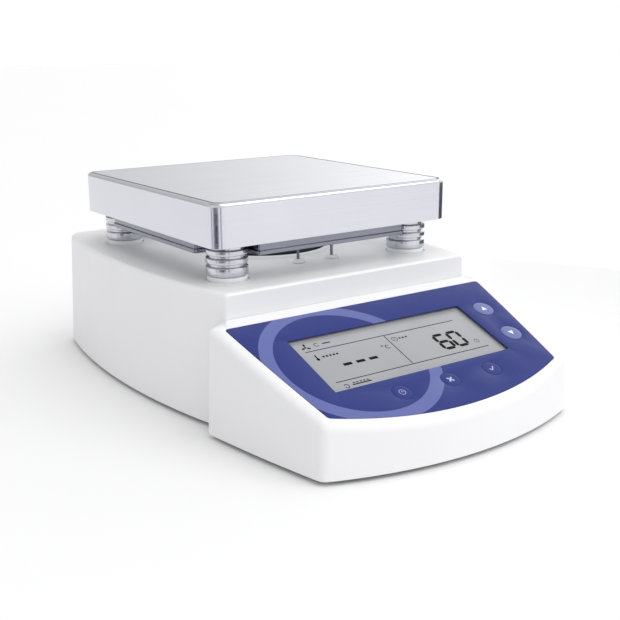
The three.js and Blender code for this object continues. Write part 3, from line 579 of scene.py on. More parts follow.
def display_look(name):
    """Grey reflective display with a fine grain and a slow change of tone."""
    look = Look(name, (0.35, 0.355, 0.372), 0.32, Coat_Weight=0.3, Coat_Roughness=0.08)
    look.vary_color(look.noise(16), 0.05)
    look.bump(look.noise(1500, 1), 0.006)
    return look.material


def board_look(name):
    """Circuit board: solder mask with a pattern of tracks under it."""
    look = Look(name, (0.012, 0.10, 0.045), 0.35)
    cells = look.node("TexVoronoi", {"Vector": look.place, "Scale": 260.0}, feature="DISTANCE_TO_EDGE")
    tracks = look.remap(cells.outputs["Distance"], 1, 0, 0.02, 0.06)
    look.mix_colors(tracks, look.color, (0.03, 0.19, 0.08, 1.0))
    look.bump(tracks, 0.03)
    return look.material


def ink_look(name, color, roughness=0.4, **sockets):
    """Printed ink or a lit segment, slightly uneven."""
    look = Look(name, color, roughness, **sockets)
    look.vary_color(look.noise(700), 0.06)
    look.vary_roughness(look.noise(400), 0.04)
    return look.material


WHITE = moulded("housing_white", (0.83, 0.83, 0.845))
STEEL = brushed("hotplate_steel", (0.70, 0.705, 0.76), 0.17, (8, 900, 900), 0.002)
# Dark steel for the heater leads; in the hotplate's edge groove it is painted shade.
DARK_STEEL_AND_GROOVE_SHADE = brushed("dark_steel_and_groove_shade", (0.2, 0.21, 0.27), 0.35, (8, 900, 900), 0.002)
# Tray steel, dark blue-grey: the dark tone is painted shade from the hotplate above.
TRAY = brushed("tray_steel_painted_shade", (0.26, 0.27, 0.32), 0.24, (12, 700, 700), 0.004)
SHEET = speckled("sheet_steel", (0.42, 0.43, 0.45), 0.45, 900, 0.06, 1.0)
ALUMINIUM = turned_metal("post_aluminium", (0.62, 0.63, 0.67), 0.2)
CAST = speckled("cast_aluminium", (0.6, 0.61, 0.63), 0.4, 700, 0.08, 1.0)
ZINC = turned_metal("zinc_plated", (0.58, 0.6, 0.63), 0.3)
NYLON = moulded("seat_white", (0.88, 0.88, 0.88), 0.35, 900, 0.01, Subsurface_Weight=0.1)
BLACK = moulded("black_plastic", (0.022, 0.022, 0.024), 0.4, 1100, 0.03)
CARRIER = moulded("carrier_black", (0.016, 0.016, 0.018), 0.5, 800, 0.04)
FERRITE = speckled("ferrite", (0.045, 0.045, 0.05), 0.6, 1500, 0.2)
RUBBER = speckled("foot_rubber", (0.03, 0.03, 0.031), 0.75, 1300, 0.15)
MICA = speckled("mica", (0.5, 0.38, 0.2), 0.5, 240, 0.2)
WOOL = speckled("mineral_wool", (0.8, 0.78, 0.72), 0.95, 420, 0.1, depth=0.4)
MOTOR = moulded("motor_case", (0.05, 0.05, 0.055), 0.4, 500, 0.03)
WINDINGS = speckled("windings", (0.22, 0.1, 0.04), 0.45, 600, 0.25, 0.3)
DIFFUSER = moulded("diffuser", (0.8, 0.82, 0.83), 0.6)
BOARD = board_look("board_green")
OVERLAY = printed_overlay("overlay_blue")
KEY_BLUE = moulded("key_light_blue", (0.125, 0.15, 0.385), 0.36, 1600, 0.008)
KEY_DARK = moulded("key_dark_blue", FILM_BLUE, 0.34, 1600, 0.008, Specular_IOR_Level=0.1)
DISPLAY = display_look("display_glass")
INK_WHITE = ink_look("ink_white", (0.8, 0.82, 0.9))
INK_PALE = ink_look("ink_pale", (0.42, 0.45, 0.68))
SEGMENT = ink_look("segment_black", (0.006, 0.006, 0.007), 0.3, Specular_IOR_Level=0.05)
BRASS = turned_metal("contact_brass", (0.72, 0.58, 0.3), 0.3)


# ---------------------------------------------------------------- housings

def body_corners():
    """Lower edge of the rear housing: bowed sides, straight front and rear."""
    steps = 20
    radii = {0: BODY_FRONT_RADIUS, steps: BODY_REAR_RADIUS}
    right = []
    # The places next to the corners are left out, so that the corners have room for their rounding.
    for i in (0, *range(2, steps - 1), steps):
        y = BODY_FRONT_Y + (BODY_REAR_Y - BODY_FRONT_Y) * i / steps
        bow = math.sqrt(BODY_BOW_RADIUS ** 2 - (y - BODY_BOW_Y) ** 2)
        right.append((BODY_HALF_WIDTH - BODY_BOW_RADIUS + bow, y, radii.get(i, 0)))
    return mirrored(right)


def taper_levels(builder, corners, bottom, top, taper, radius, front_stop, steps=8):
    """Rings of a tapered wall with a rounded top edge."""
    def ring(distance, height):
        loop = shrunk(corners, distance, max(0, distance - taper))
        return builder.level([Vector((p.x, max(p.y, front_stop))) for p in loop], height)

    rings = []
    wall_steps = 6
    for i in range(wall_steps):
        share = i / wall_steps
        rings.append(ring(taper * share, bottom + (top - radius - bottom) * share))
    for step in range(steps + 1):
        angle = math.pi / 2 * step / steps
        rings.append(ring(taper + radius * (1 - math.cos(angle)), top - radius * (1 - math.sin(angle))))
    return builder.stack(rings)


def deck_features(builder, under):
    """Rings, from the deck's top to its underside, of the lip, the seats' recesses and the leads' holes."""
    lip_top = DECK_Z + LIP_HEIGHT
    lip = [(LIP_OUTER + 1, DECK_Z), (LIP_OUTER + 0.3, DECK_Z + 0.3), (LIP_OUTER, DECK_Z + 1)]
    lip += quarter((LIP_OUTER - 1, lip_top - 1), 1, 0, 90)
    lip += quarter((LIP_INNER + 1, lip_top - 1), 1, 90, 180)
    lip += [(LIP_INNER, under)]
    features = [builder.turned(lip, 0, AXIS_Y, 96)]
    recess, floor = SEAT_RADIUS + SEAT_RECESS_MARGIN, DECK_Z - SEAT_RECESS
    seat = quarter((recess + 0.4, DECK_Z - 0.4), 0.4, 90, 180, 3)
    seat += [(recess, floor), (BOLT_HOLE, floor), (BOLT_HOLE, under)]
    features += [builder.turned(seat, *spot(f"plate_post_{i}"), 48) for i in CORNERS]
    hole = [(BUSHING_NECK + GAP, DECK_Z), (BUSHING_NECK + GAP, under)]
    features += [builder.turned(hole, *spot(f"lead_bushing_{i}"), 24) for i in PAIR]
    return features


def cut_rear_panel(piece):
    """Sinks a flat panel into the rear wall and cuts the holes for its fittings."""
    x0, x1, z0, z1 = PANEL_RECESS
    back, y = PANEL_BACKING, PANEL_SEAT_Y - GAP
    backing = block(x0 - back, x1 + back, y - back, y + PANEL_MERGE, z0 - back, z1 + back)
    subtract(piece, [backing], "UNION")
    tools = [block(x0, x1, y, BODY_REAR_Y + CUT_REACH, z0, z1)]
    for node, body in (("mains_inlet", INLET_BODY), ("switch_frame", SWITCH_BODY)):
        x, half, tall = middle(node).x, body[0] + GAP, body[1] + GAP
        tools.append(block(x - half, x + half, y - CUT_REACH, y + 2, PANEL_MID_Z - tall, PANEL_MID_Z + tall))
    place = Matrix.Translation(Vector((middle("fuse_holder").x, y, PANEL_MID_Z)) * MM)
    bore = [(FUSE_HOLE, -CUT_REACH), (FUSE_HOLE, CUT_REACH)]
    tools.append(lathe("tool", TOOL_LOOK, bore, 32, matrix=place @ Matrix.Rotation(math.pi / 2, 4, "X")))
    subtract(piece, tools)


def rear_housing():
    """Tapered shell with bowed sides and a flat deck."""
    builder = Builder()
    corners = body_corners()
    under = DECK_Z - DECK_THICK
    front = SEAM_Y + GAP
    outer = taper_levels(builder, corners, BASE_Z, DECK_Z, BODY_TAPER, BODY_EDGE, front)
    lining = shrunk_corners(corners, WALL, WALL)
    inner = taper_levels(builder, lining, BASE_Z, under, BODY_TAPER, BODY_INNER_EDGE, front + WALL, 2)
    builder.bridge(inner[0], outer[0])
    features = deck_features(builder, under)
    builder.fill(outer[-1], *[rings[0] for rings in features])
    builder.fill(inner[-1], *[rings[-1] for rings in features])
    piece = builder.finish("rear_shell", WHITE)
    cut_rear_panel(piece)
    stand_for(piece, "base", "housing_white", "rear_housing")


def console_corners():
    """Lower edge of the console: bowed front and sides, cut square at the seam."""
    x, y = CONSOLE_CORNER
    swell = (CONSOLE_SIDE_HALF, (CONSOLE_START_Y + y) / 2)
    side = bezier((x, y), swell, (CONSOLE_REAR_HALF, CONSOLE_START_Y), 24)
    side = [(p.x, p.y) for p in side if p.y < SEAM_Y - 6]
    before, last = side[-2:]
    reach = (SEAM_Y - last[1]) / (last[1] - before[1])
    corner = (last[0] + (last[0] - before[0]) * reach, SEAM_Y, CONSOLE_SEAM_RADIUS)
    front = [tuple(p) for p in arc((-x, y), (x, y), CONSOLE_BOW, 40)[1:-1]]
    right = [(x, y, CONSOLE_FRONT_RADIUS), *side[2:], corner]
    across = [*SEAM_POINTS, 0, *[-p for p in reversed(SEAM_POINTS)]]
    return mirrored(right, front, [(p, SEAM_Y) for p in across])


def face_height(drop=0.0):
    """Height of the sloping face at a place, less a depth measured square to the face."""
    return lambda x, y: FACE_Z + math.tan(TILT) * (y - FACE_Y) - drop / math.cos(TILT)


def smooth_step(value, start, end):
    t = min(1.0, max(0.0, (value - start) / (end - start)))
    return t * t * (3 - 2 * t)


def console_levels(builder, corners, taper, radius, drop, steps):
    """Rings of the console wall. The top edge is rounded, apart from where it meets the rear housing."""
    seam = max(c[1] for c in corners)
    free = [smooth_step(abs(c[0]), *SHOULDER) if c[1] > seam - 0.01 else 1.0 for c in corners]
    height = face_height(drop)

    def ring(distance, sunk, share=None):
        loop = shrunk(corners, [distance * f for f in free], max(0, distance - taper))
        points = []
        for p in loop:
            exposed = smooth_step(abs(p.x), *SHOULDER) if p.y > seam - taper - radius - 0.01 else 1.0
            top = height(p.x, p.y) - sunk * exposed
            z = top if share is None else BASE_Z + (top - BASE_Z) * share
            points.append((p.x, p.y, z))
        return builder.ring(points)

    rings = [ring(taper * i / 5, radius, i / 5) for i in range(5)]
    for step in range(steps + 1):
        angle = math.pi / 2 * step / steps
        rings.append(ring(taper + radius * (1 - math.cos(angle)), radius * (1 - math.sin(angle))))
    return builder.stack(rings)


def overlay_outline(margin=0.0):
    """Outline of the blue film in the face's own x and y: a straight rear, bowed sides and a bowed front."""
    corner = (OVERLAY_FRONT_HALF, -OVERLAY_SIDE)
    swell = (OVERLAY_FRONT_HALF + OVERLAY_SWELL, -OVERLAY_SIDE / 2)
    right = [tuple(p) for p in bezier(corner, swell, (OVERLAY_REAR_HALF, 0), 16)]
    right[0] = (*right[0], OVERLAY_FRONT_RADIUS)
    right[-1] = (*right[-1], OVERLAY_REAR_RADIUS)
    bow = arc((-OVERLAY_FRONT_HALF, -OVERLAY_SIDE), corner, OVERLAY_LENGTH - OVERLAY_SIDE, 32)
    front = [tuple(p) for p in bow[1:-1]]
    return inset(rounded(mirrored(right, front), 6), -margin)


def face_area(limits, margin=0.0, radius=1.0):
    """A rounded rectangle on the sloping face, from an area's limits and a margin round it."""
    x0, x1, s0, s1 = limits
    return rectangle(x0 - margin, x1 + margin, -s1 - margin, -s0 + margin, radius)


def on_face(builder, outline, w):
    """A ring on the sloping face, from the face's own x and y, at height w above the face."""
    place = FACE @ Matrix.Scale(MM, 4)
    return builder.ring([(place @ Vector((p.x, p.y, w))) / MM for p in outline])


def console_housing():
    """Wedge-shaped shell with a shallow pocket for the film, wells for the keys and a display cut-out."""
    builder = Builder()
    corners = console_corners()
    outer = console_levels(builder, corners, CONSOLE_TAPER, CONSOLE_EDGE, 0, 9)
    lining = shrunk_corners(corners, WALL, WALL)
    inner = console_levels(builder, lining, CONSOLE_TAPER, CONSOLE_INNER_EDGE, CONSOLE_SKIN, 2)
    builder.bridge(inner[0], outer[0])
    pocket = overlay_outline(FILM_MARGIN)
    rim = [(inset(pocket, -SOFT), 0), (pocket, -SOFT), (pocket, FILM_SEAT)]
    cutout = face_area(GLASS, 2 * GAP)
    holes = [[(cutout, FILM_SEAT), (cutout, -CONSOLE_SKIN)]]
    for x, s, radius in KEYS.values():
        well, stem = circle(radius + GAP, x, -s), circle(KEY_STEM + STEM_GAP, x, -s)
        holes.append([(well, FILM_SEAT), (well, KEY_WELL), (stem, KEY_WELL), (stem, -CONSOLE_SKIN)])
    rim, *holes = [builder.stack([on_face(builder, loop, w) for loop, w in cut]) for cut in (rim, *holes)]
    builder.fill(outer[-1], rim[0])
    builder.fill(rim[-1], *[rings[0] for rings in holes])
    builder.fill(inner[-1], *[rings[-1] for rings in holes])
    piece = builder.finish("console_shell", WHITE)
    stand_for(piece, "base", "housing_white", "console_housing")


# ---------------------------------------------------------------- control face

def control_overlay():
    holes = [circle(radius + KEY_SLIT, x, -s) for x, s, radius in KEYS.values()]
    holes.append(face_area(WINDOW, 0, 0.6))
    film = slab("overlay_film", OVERLAY, overlay_outline(), FILM_LOW, FILM_TOP, FILM_EDGE, holes, FACE)
    stand_for(film, "base", "overlay_blue", "control_overlay")


def key_caps():
    """Round caps with a softened edge and a stem below. The two arrow keys stand a little higher."""
    for name, (x, s, radius) in KEYS.items():
        arrow = name in ARROWS
        rise = ARROW_RISE if arrow else PLAIN_RISE
        look, slot = (KEY_BLUE, "key_light_blue") if arrow else (KEY_DARK, "overlay_blue")
        profile = [(KEY_STEM, KEY_FOOT), (KEY_STEM, FILM_LOW), (radius, FILM_LOW), (radius, rise - 0.3)]
        profile += quarter((radius - 0.35, rise - 0.33), 0.35, 15, 80, 4)
        profile += [(radius * 0.6, rise + 0.06), (0.01, rise + 0.08)]
        place = FACE @ Matrix.Translation(Vector((x, -s, 0)) * MM)
        stand_for(lathe(name + "_cap", look, profile, 64, matrix=place), name, slot, name)


def flat_marks(name, material, shapes, w, body, slot, thick=0.03, matrix=FACE):
    """Printed or lit marks: thin flat shapes on the sloping face, in its own x and y.

    A shape is its outline followed by the outlines of its holes."""
    builder = Builder()
    for shape in shapes:
        loops = [[Vector(p) for p in loop] for loop in shape]
        lower, upper = [[builder.level(loop, height) for loop in loops] for height in (w, w + thick)]
        for low_ring, high_ring in zip(lower, upper):
            builder.bridge(low_ring, high_ring)
        builder.fill(*lower)
        builder.fill(*upper)
    stand_for(builder.finish(name, material, matrix), body, slot)


def stroke(points, width):
    """A bent stroke of even width along the given points."""
    line = [Vector(p) for p in points]
    left, right = [], []
    for i, here in enumerate(line):
        before = (here - line[i - 1]).normalized() if i else None
        after = (line[i + 1] - here).normalized() if i < len(line) - 1 else None
        ways = [way for way in (before, after) if way is not None]
        across = sum((Vector((-way.y, way.x)) for way in ways), Vector((0, 0)))
        across *= width / 2 * len(ways) / across.length_squared if len(ways) > 1 else width / 2
        left.append(here + across)
        right.append(here - across)
    return [right + left[::-1]]


def bar(x0, y0, x1, y1, width):
    return stroke([(x0, y0), (x1, y1)], width)


def hoop(x, y, radius, width, count=32):
    return [circle(radius + width / 2, x, y, count), circle(radius - width / 2, x, y, count)[::-1]]


def hook(x, y, radius, width, start, sweep, count=16):
    """Part of a hoop, from a start angle in degrees."""
    angles = [math.radians(start + sweep * i / count) for i in range(count + 1)]
    return stroke([(x + radius * math.cos(a), y + radius * math.sin(a)) for a in angles], width)


def thermometer(x, y, size):
    """A bulb with a stem, as one outline."""
    opening, steps, radius = math.radians(25), 20, size * 0.26
    turn = 2 * math.pi - 2 * opening
    angles = [math.pi / 2 + opening + turn * i / steps for i in range(steps + 1)]
    bulb = [(x + radius * math.cos(a), y + radius * math.sin(a)) for a in angles]
    half = radius * math.sin(opening)
    return [[bulb + [(x + half, y + size), (x - half, y + size)]]]


def clock(x, y, size):
    hands = stroke([(x, y + size * 0.62), (x, y), (x + size * 0.45, y)], size * 0.16)
    return [hoop(x, y, size, size * 0.18), hands]


def cross_corners(size, arm):
    """Corners of an upright cross, anticlockwise: three, and the same three at each quarter turn."""
    corners = [(size, -arm), (size, arm), (arm, arm)]
    for _ in range(3):
        corners += [(-y, x) for x, y in corners[-3:]]
    return corners


def cross(x, y, size):
    turn = Matrix.Rotation(math.pi / 4, 2)
    return [[[Vector((x, y)) + turn @ Vector(c) * 1.2 for c in cross_corners(size, size * 0.25)]]]


def tick(x, y, size):
    points = [(x - size, y + size * 0.1), (x - size * 0.3, y - size * 0.7), (x + size, y + size * 0.8)]
    return [stroke(points, size * 0.36)]


def propeller(x, y, size):
    """Three blades round a hub."""
    shapes = [[circle(size * 0.22, x, y, 16)]]
    for blade in range(3):
        turn = Matrix.Rotation(math.radians(90 + 120 * blade), 2)
        outline = [(0.3, -0.12), (0.55, -0.3), (0.95, -0.24), (1.0, 0.05), (0.6, 0.16), (0.3, 0.12)]
        shapes.append([[Vector((x, y)) + turn @ Vector(p) * size for p in outline]])
    return shapes


SEGMENTS = {
    "a": (0, 1.0, 1, 1.0), "b": (1, 1.0, 1, 0.5), "c": (1, 0.5, 1, 0.0), "d": (0, 0.0, 1, 0.0),
    "e": (0, 0.5, 0, 0.0), "f": (0, 1.0, 0, 0.5), "g": (0, 0.5, 1, 0.5),
}
DIGITS = {"6": "afgedc", "0": "abcdef"}
SEGMENT_GAP = 0.2


def segment(x0, y0, x1, y1, width):
    """A segment of a digit, with pointed ends that almost touch the next ones."""
    a, b = Vector((x0, y0)), Vector((x1, y1))
    along = (b - a).normalized()
    a, b = a + along * SEGMENT_GAP, b - along * SEGMENT_GAP
    side = Vector((-along.y, along.x)) * width / 2
    tip = along * width / 2
    return [a, a + tip - side, b - tip - side, b, b - tip + side, a + tip + side]


def digit(figure, x, y, width, height, stroke_width):
    shapes = []
    for name in DIGITS[figure]:
        x0, y0, x1, y1 = SEGMENTS[name]
        start, end = (x + x0 * width, y + y0 * height), (x + x1 * width, y + y1 * height)
        shapes.append([segment(*start, *end, stroke_width)])
    return shapes


def dots(x, y, count, length, width, pitch=2.6):
    """A row of short dashes in place of a word."""
    return [bar(x + pitch * i, y, x + pitch * i + length, y, width) for i in range(count)]


def display_marks():
    """What the display shows: three dashes, 60, units and small pictograms between thin rules."""
    rules = [(-68, -34, 53, -34), (-67, -65.5, 58, -65.5), (-7, -34.6, -7, -64.9)]
    shapes = [bar(*rule, 0.6) for rule in rules]
    shapes += propeller(-65, -29.5, 3.4)
    shapes += [hook(-56.5, -29, 1.5, 0.45, 40, 280), bar(-52, -29, -46, -29, 0.9)]
    shapes += thermometer(-64, -42.5, 4.4) + dots(-60, -41, 5, 1.6, 1.4)
    shapes += [bar(x - 3.2, -52, x + 3.2, -52, 2.4) for x in (-48.6, -38.6, -28.6)]
    shapes += [hoop(-15.2, -43.2, 0.7, 0.35, 16), hook(-11.8, -45, 1.6, 0.5, 50, 260)]
    shapes += clock(-2, -39.6, 2.0) + dots(1.4, -39.6, 3, 1.6, 1.2)
    shapes += digit("6", 25.6, -59.5, 8.4, 14.5, 2.5) + digit("0", 37.2, -59.5, 8.4, 14.5, 2.5)
    shapes += clock(53.5, -58.5, 1.7)
    shapes += [hook(-62.5, -70.4, 1.6, 0.5, 200, 300), bar(-58, -70.4, -44, -70.4, 0.9)]
    shapes += dots(-57, -68.9, 5, 1.4, 0.9)
    flat_marks("display_marks", SEGMENT, shapes, GLASS_TOP + 0.01, "base", "display_glass")


def key_marks():
    """Arrows on the two light keys, and a clock, a cross and a tick on the dark ones."""
    for name, way in ARROWS.items():
        x, s, _ = KEYS[name]
        loop = [(x - 2.3, -s - 1.7 * way), (x + 2.3, -s - 1.7 * way), (x, -s + 2.3 * way)]
        flat_marks(name + "_mark", INK_WHITE, [[loop[::way]]], ARROW_RISE + 0.08, name, "key_light_blue")
    signs = {"key_timer": clock, "key_exit": cross, "key_enter": tick}
    for name, sign in signs.items():
        x, s, _ = KEYS[name]
        flat_marks(name + "_mark", INK_PALE, sign(x, -s, 2.1), PLAIN_RISE + 0.06, name, "overlay_blue")


# ---------------------------------------------------------------- hotplate and posts

PLATE_CORNER = 10.0
PLATE_EDGE = 2.6
PLATE_SHEET = 1.2
GROOVE_WIDTH = 1.9
GROOVE_DEPTH = 0.7
GROOVE_SLOPE = 0.35


def top_plate():
    """Pressed steel pan: a flat face inside a fine groove, a rolled edge, and a straight skirt. The groove is
    coloured dark steel as painted shade.
    """
    builder = Builder()
    half = high("top_plate").x
    z0, z1 = heights("top_plate")
    square = rectangle(-half, half, AXIS_Y - half, AXIS_Y + half, PLATE_CORNER, 16)

    def level(distance, z):
        return builder.level(inset(square, distance), z)

    rings = [level(PLATE_SHEET - 0.2, z0), level(0.2, z0), level(0, z0 + 0.3)]
    for step in range(11):
        angle = math.pi / 2 * step / 10
        rings.append(level(PLATE_EDGE * (1 - math.cos(angle)), z1 - PLATE_EDGE * (1 - math.sin(angle))))
    builder.stack(rings)
    start, end, floor = PLATE_EDGE, PLATE_EDGE + GROOVE_WIDTH, z1 - GROOVE_DEPTH
    groove = [rings[-1], level(start + GROOVE_SLOPE, floor), level(end - GROOVE_SLOPE, floor), level(end, z1)]
    builder.stack(groove)
    builder.fill(groove[-1])
    inner = [rings[0], level(PLATE_SHEET, z1 - PLATE_EDGE), level(PLATE_EDGE, z1 - PLATE_SHEET)]
    builder.stack(inner[::-1])
    builder.fill(inner[-1])
    groove_shade_faces = builder.faces_between(groove)
    piece = builder.finish("plate_pan", STEEL)
    # The groove gets the dark steel: painted shade along the plate's edge.
    piece.data.materials.append(DARK_STEEL_AND_GROOVE_SHADE)
    for index in groove_shade_faces:
        piece.data.polygons[index].material_index = 1
    stand_for(piece, "base", "hotplate_steel", "top_plate")


def post_profile(z0, z1):
    """Outside of a finned post: a plain foot, then rounded fins between square grooves."""
    soft, bevel = 0.7, 0.3
    foot = POST_RADIUS - 0.5
    profile = [(foot, z0)] + quarter((foot, z0 + 0.5), 0.5, -90, 0, 3)[1:]
    for number in range(GROOVES):
        z = z0 + FIN_START + number * FIN_PITCH
        end = z + GROOVE
        profile += quarter((POST_RADIUS - soft, z - soft), soft, 0, 90)
        profile += [(POST_CORE + bevel, z), (POST_CORE, z + bevel)]
        profile += [(POST_CORE, end - bevel), (POST_CORE + bevel, end)]
        profile += quarter((POST_RADIUS - soft, end + soft), soft, -90, 0)
    return profile + [(POST_RADIUS, z1 - bevel), (POST_RADIUS - bevel, z1)]


def posts():
    """Finned posts, each on a white seat."""
    for i in CORNERS:
        place = spot(f"plate_post_{i}")
        post = lathe(f"post_{i}", ALUMINIUM, post_profile(*heights(f"plate_post_{i}")), 72, place)
        stand_for(post, "base", "post_aluminium", f"plate_post_{i}")
        z0, z1 = heights(f"post_seat_{i}")
        profile = [(SEAT_BORE, z0), (SEAT_RADIUS - SOFT, z0), (SEAT_RADIUS, z0 + SOFT)]
        profile += quarter((SEAT_RADIUS - 0.8, z1 - 0.8), 0.8, 0, 90) + [(SEAT_BORE, z1)]
        seat = lathe(f"seat_{i}", NYLON, profile, 64, place, closed=True)
        stand_for(seat, "base", "seat_white", f"post_seat_{i}")


def bushings():
    """White collars on the deck that the heater's leads pass through."""
    seat = DECK_Z + GAP
    for i in PAIR:
        name = f"lead_bushing_{i}"
        z0, z1 = heights(name)
        profile = [(BUSHING_BORE, z0), (BUSHING_NECK, z0), (BUSHING_NECK, seat)]
        profile += [(BUSHING_RADIUS - 0.1, seat), (BUSHING_RADIUS, seat + 0.2)]
        profile += quarter((BUSHING_RADIUS - 0.9, z1 - 0.9), 0.9, 0, 90)
        profile += [(BUSHING_BORE + SOFT, z1), (BUSHING_BORE, z1 - SOFT)]
        piece = lathe(f"bushing_{i}", NYLON, profile, 40, spot(name), closed=True)
        stand_for(piece, "base", "seat_white", name)


TRAY_SHEET = 1.0
TRAY_HEM = 0.8
TRAY_HEM_HEIGHT = 3.1
TRAY_LEAD_HOLE = 2.2


def notched_square(half, clearance, radius, notch_radius):
    """A square round the stirring axis with a square notch at each corner, for the posts."""
    notch = POST_PLACE - POST_RADIUS - clearance
    corner = [(half, notch, radius), (notch, notch, notch_radius), (notch, half, radius)]
    turns = [Matrix.Rotation(i * math.pi / 2, 2) for i in range(4)]
    corners = [(*(turn @ Vector(p[:2])), p[2]) for turn in turns for p in corner]
    return [p + Vector((0, AXIS_Y)) for p in rounded(corners, 4)]


def shield_tray():
    """Sheet tray below the hotplate, with a hem along its lower edge and square notches for the posts."""
    builder = Builder()
    z0, z1 = heights("shield_tray")
    outline = notched_square(high("shield_tray").x - TRAY_HEM, 1.4, 1.5, 1.0)
    hem, inside = inset(outline, -TRAY_HEM), inset(outline, TRAY_SHEET)
    soft_hem = inset(hem, 0.25)
    hem_top = z0 + TRAY_HEM_HEIGHT
    rings = builder.walls([(outline, z0), (soft_hem, z0 + 0.1), (hem, z0 + 0.5), (hem, hem_top - 0.6),
                           (soft_hem, hem_top - 0.2), (outline, hem_top), (outline, z1), (inside, z1),
                           (inside, z0 + TRAY_SHEET)])
    hole = [(TRAY_LEAD_HOLE, z0), (TRAY_LEAD_HOLE, z0 + TRAY_SHEET)]
    holes = [builder.turned(hole, *spot(f"heater_lead_{i}"), 20) for i in PAIR]
    builder.fill(rings[0], *[h[0] for h in holes])
    builder.fill(rings[-1], *[h[1] for h in holes])
    # The tray's dark steel is painted shade.
    stand_for(builder.finish("shield_pan", TRAY), "base", "sheet_steel", "shield_tray")


# ---------------------------------------------------------------- rear panel, screws and feet

def fitting_outline(half_x, half_y, lower, upper, x=0.0, y=0.0):
    """A rectangle whose lower and upper corners have their own radii."""
    corners = mirrored([(half_x, -half_y, lower), (half_x, half_y, upper)])
    return [p + Vector((x, y)) for p in rounded(corners, 5)]


def panel_frame(node):
    """Frame of a fitting on the rear panel: x to the right seen from behind, y up, z outwards."""
    turn = Matrix(((-1, 0, 0), (0, 0, 1), (0, 1, 0))).to_4x4()
    return Matrix.Translation(Vector((middle(node).x, PANEL_SEAT_Y, PANEL_MID_Z)) * MM) @ turn


def panel_socket(name, node, body, flange, mouth, mouth_depth):
    """A panel fitting: a flange with soft edges, a closed body behind it and a deep mouth."""
    builder = Builder()
    depth = PANEL_SEAT_Y - low(node).y
    soft = 0.5
    levels = [(inset(body, soft), -depth), (body, soft - depth), (body, 0)]
    levels += [(flange, 0), (flange, FLANGE - soft), (inset(flange, 0.15), FLANGE - 0.15)]
    levels += [(inset(flange, soft), FLANGE), (inset(mouth, -soft), FLANGE)]
    levels += [(mouth, FLANGE - soft), (mouth, FLANGE - mouth_depth)]
    builder.close(builder.walls(levels))
    stand_for(builder.finish(name, BLACK, panel_frame(node)), "base", "black_plastic", node)


INLET_DEPTH = 17.0
INLET_PINS = ((-7, -0.5), (7, -0.5), (0, 3.5))
PIN_FLOOR = FLANGE - INLET_DEPTH + 0.1
PIN_TIP = FLANGE - 2


def mains_inlet():
    """Three-pin inlet: a mouth with cut upper corners, and flat pins that stop short of its edge."""
    body, flange = fitting_outline(*INLET_BODY, 1, 1), fitting_outline(17, 13, 3, 3)
    mouth = fitting_outline(12.2, 8.2, 1.2, 4.5)
    panel_socket("inlet_socket", "mains_inlet", body, flange, mouth, INLET_DEPTH)
    place = panel_frame("mains_inlet")
    for number, (x, y) in enumerate(INLET_PINS, 1):
        outline = fitting_outline(1, 2, 0.3, 0.3, x, y)
        pin_piece = slab(f"inlet_pin_{number}", BRASS, outline, PIN_FLOOR, PIN_TIP, 0.25, matrix=place)
        stand_for(pin_piece, "base", "zinc_plated")


FUSE_BODY = 5.9
FUSE_FLANGE = 8.0
CAP_RIBS = 24
POINTS_PER_RIB = 6


def ribbed(radius):
    """Outline of the fuse holder's cap: a circle with shallow ribs."""
    count = CAP_RIBS * POINTS_PER_RIB
    angles = [2 * math.pi * i / count for i in range(count)]
    return [Vector((math.cos(a), math.sin(a))) * (radius + 0.18 * math.cos(CAP_RIBS * a)) for a in angles]


def fuse_holder():
    """Screw-in fuse holder: a round body and flange, and a ribbed cap with a slot for a coin."""
    place = panel_frame("fuse_holder")
    depth = PANEL_SEAT_Y - low("fuse_holder").y
    profile = [(FUSE_BODY - 0.5, -depth), (FUSE_BODY, 0.5 - depth), (FUSE_BODY, 0), (FUSE_FLANGE - SOFT, 0)]
    profile += [(FUSE_FLANGE, SOFT), (FUSE_FLANGE, 1.4 - SOFT), (FUSE_FLANGE - SOFT, 1.4), (6.4, 1.4)]
    holder = lathe("fuse_body", BLACK, profile, 48, matrix=place)
    stand_for(holder, "base", "black_plastic", "fuse_holder")

    builder = Builder()
    slot, cap_top = fitting_outline(4, 0.7, 0.3, 0.3), 3.2
    face = circle(5.6, count=CAP_RIBS * POINTS_PER_RIB)
    rings = builder.walls([(ribbed(6.2), 1.2), (ribbed(6.2), 2.6), (ribbed(6.0), 3.0), (face, cap_top)])
    builder.fill(rings[0])
    edge, floor = builder.walls([(slot, cap_top), (slot, cap_top - 1)])
    builder.fill(rings[-1], edge)
    builder.fill(floor)
    stand_for(builder.finish("fuse_cap", BLACK, place), "base", "black_plastic")


SWITCH_WELL = 9.0
ROCKER_HALF = (5.0, 7.0)  # half its width, and from its pivot to either end
ROCKER_SLOPE = math.atan(1 / ROCKER_HALF[1])  # its two faces rise by 1 mm from the middle to the ends


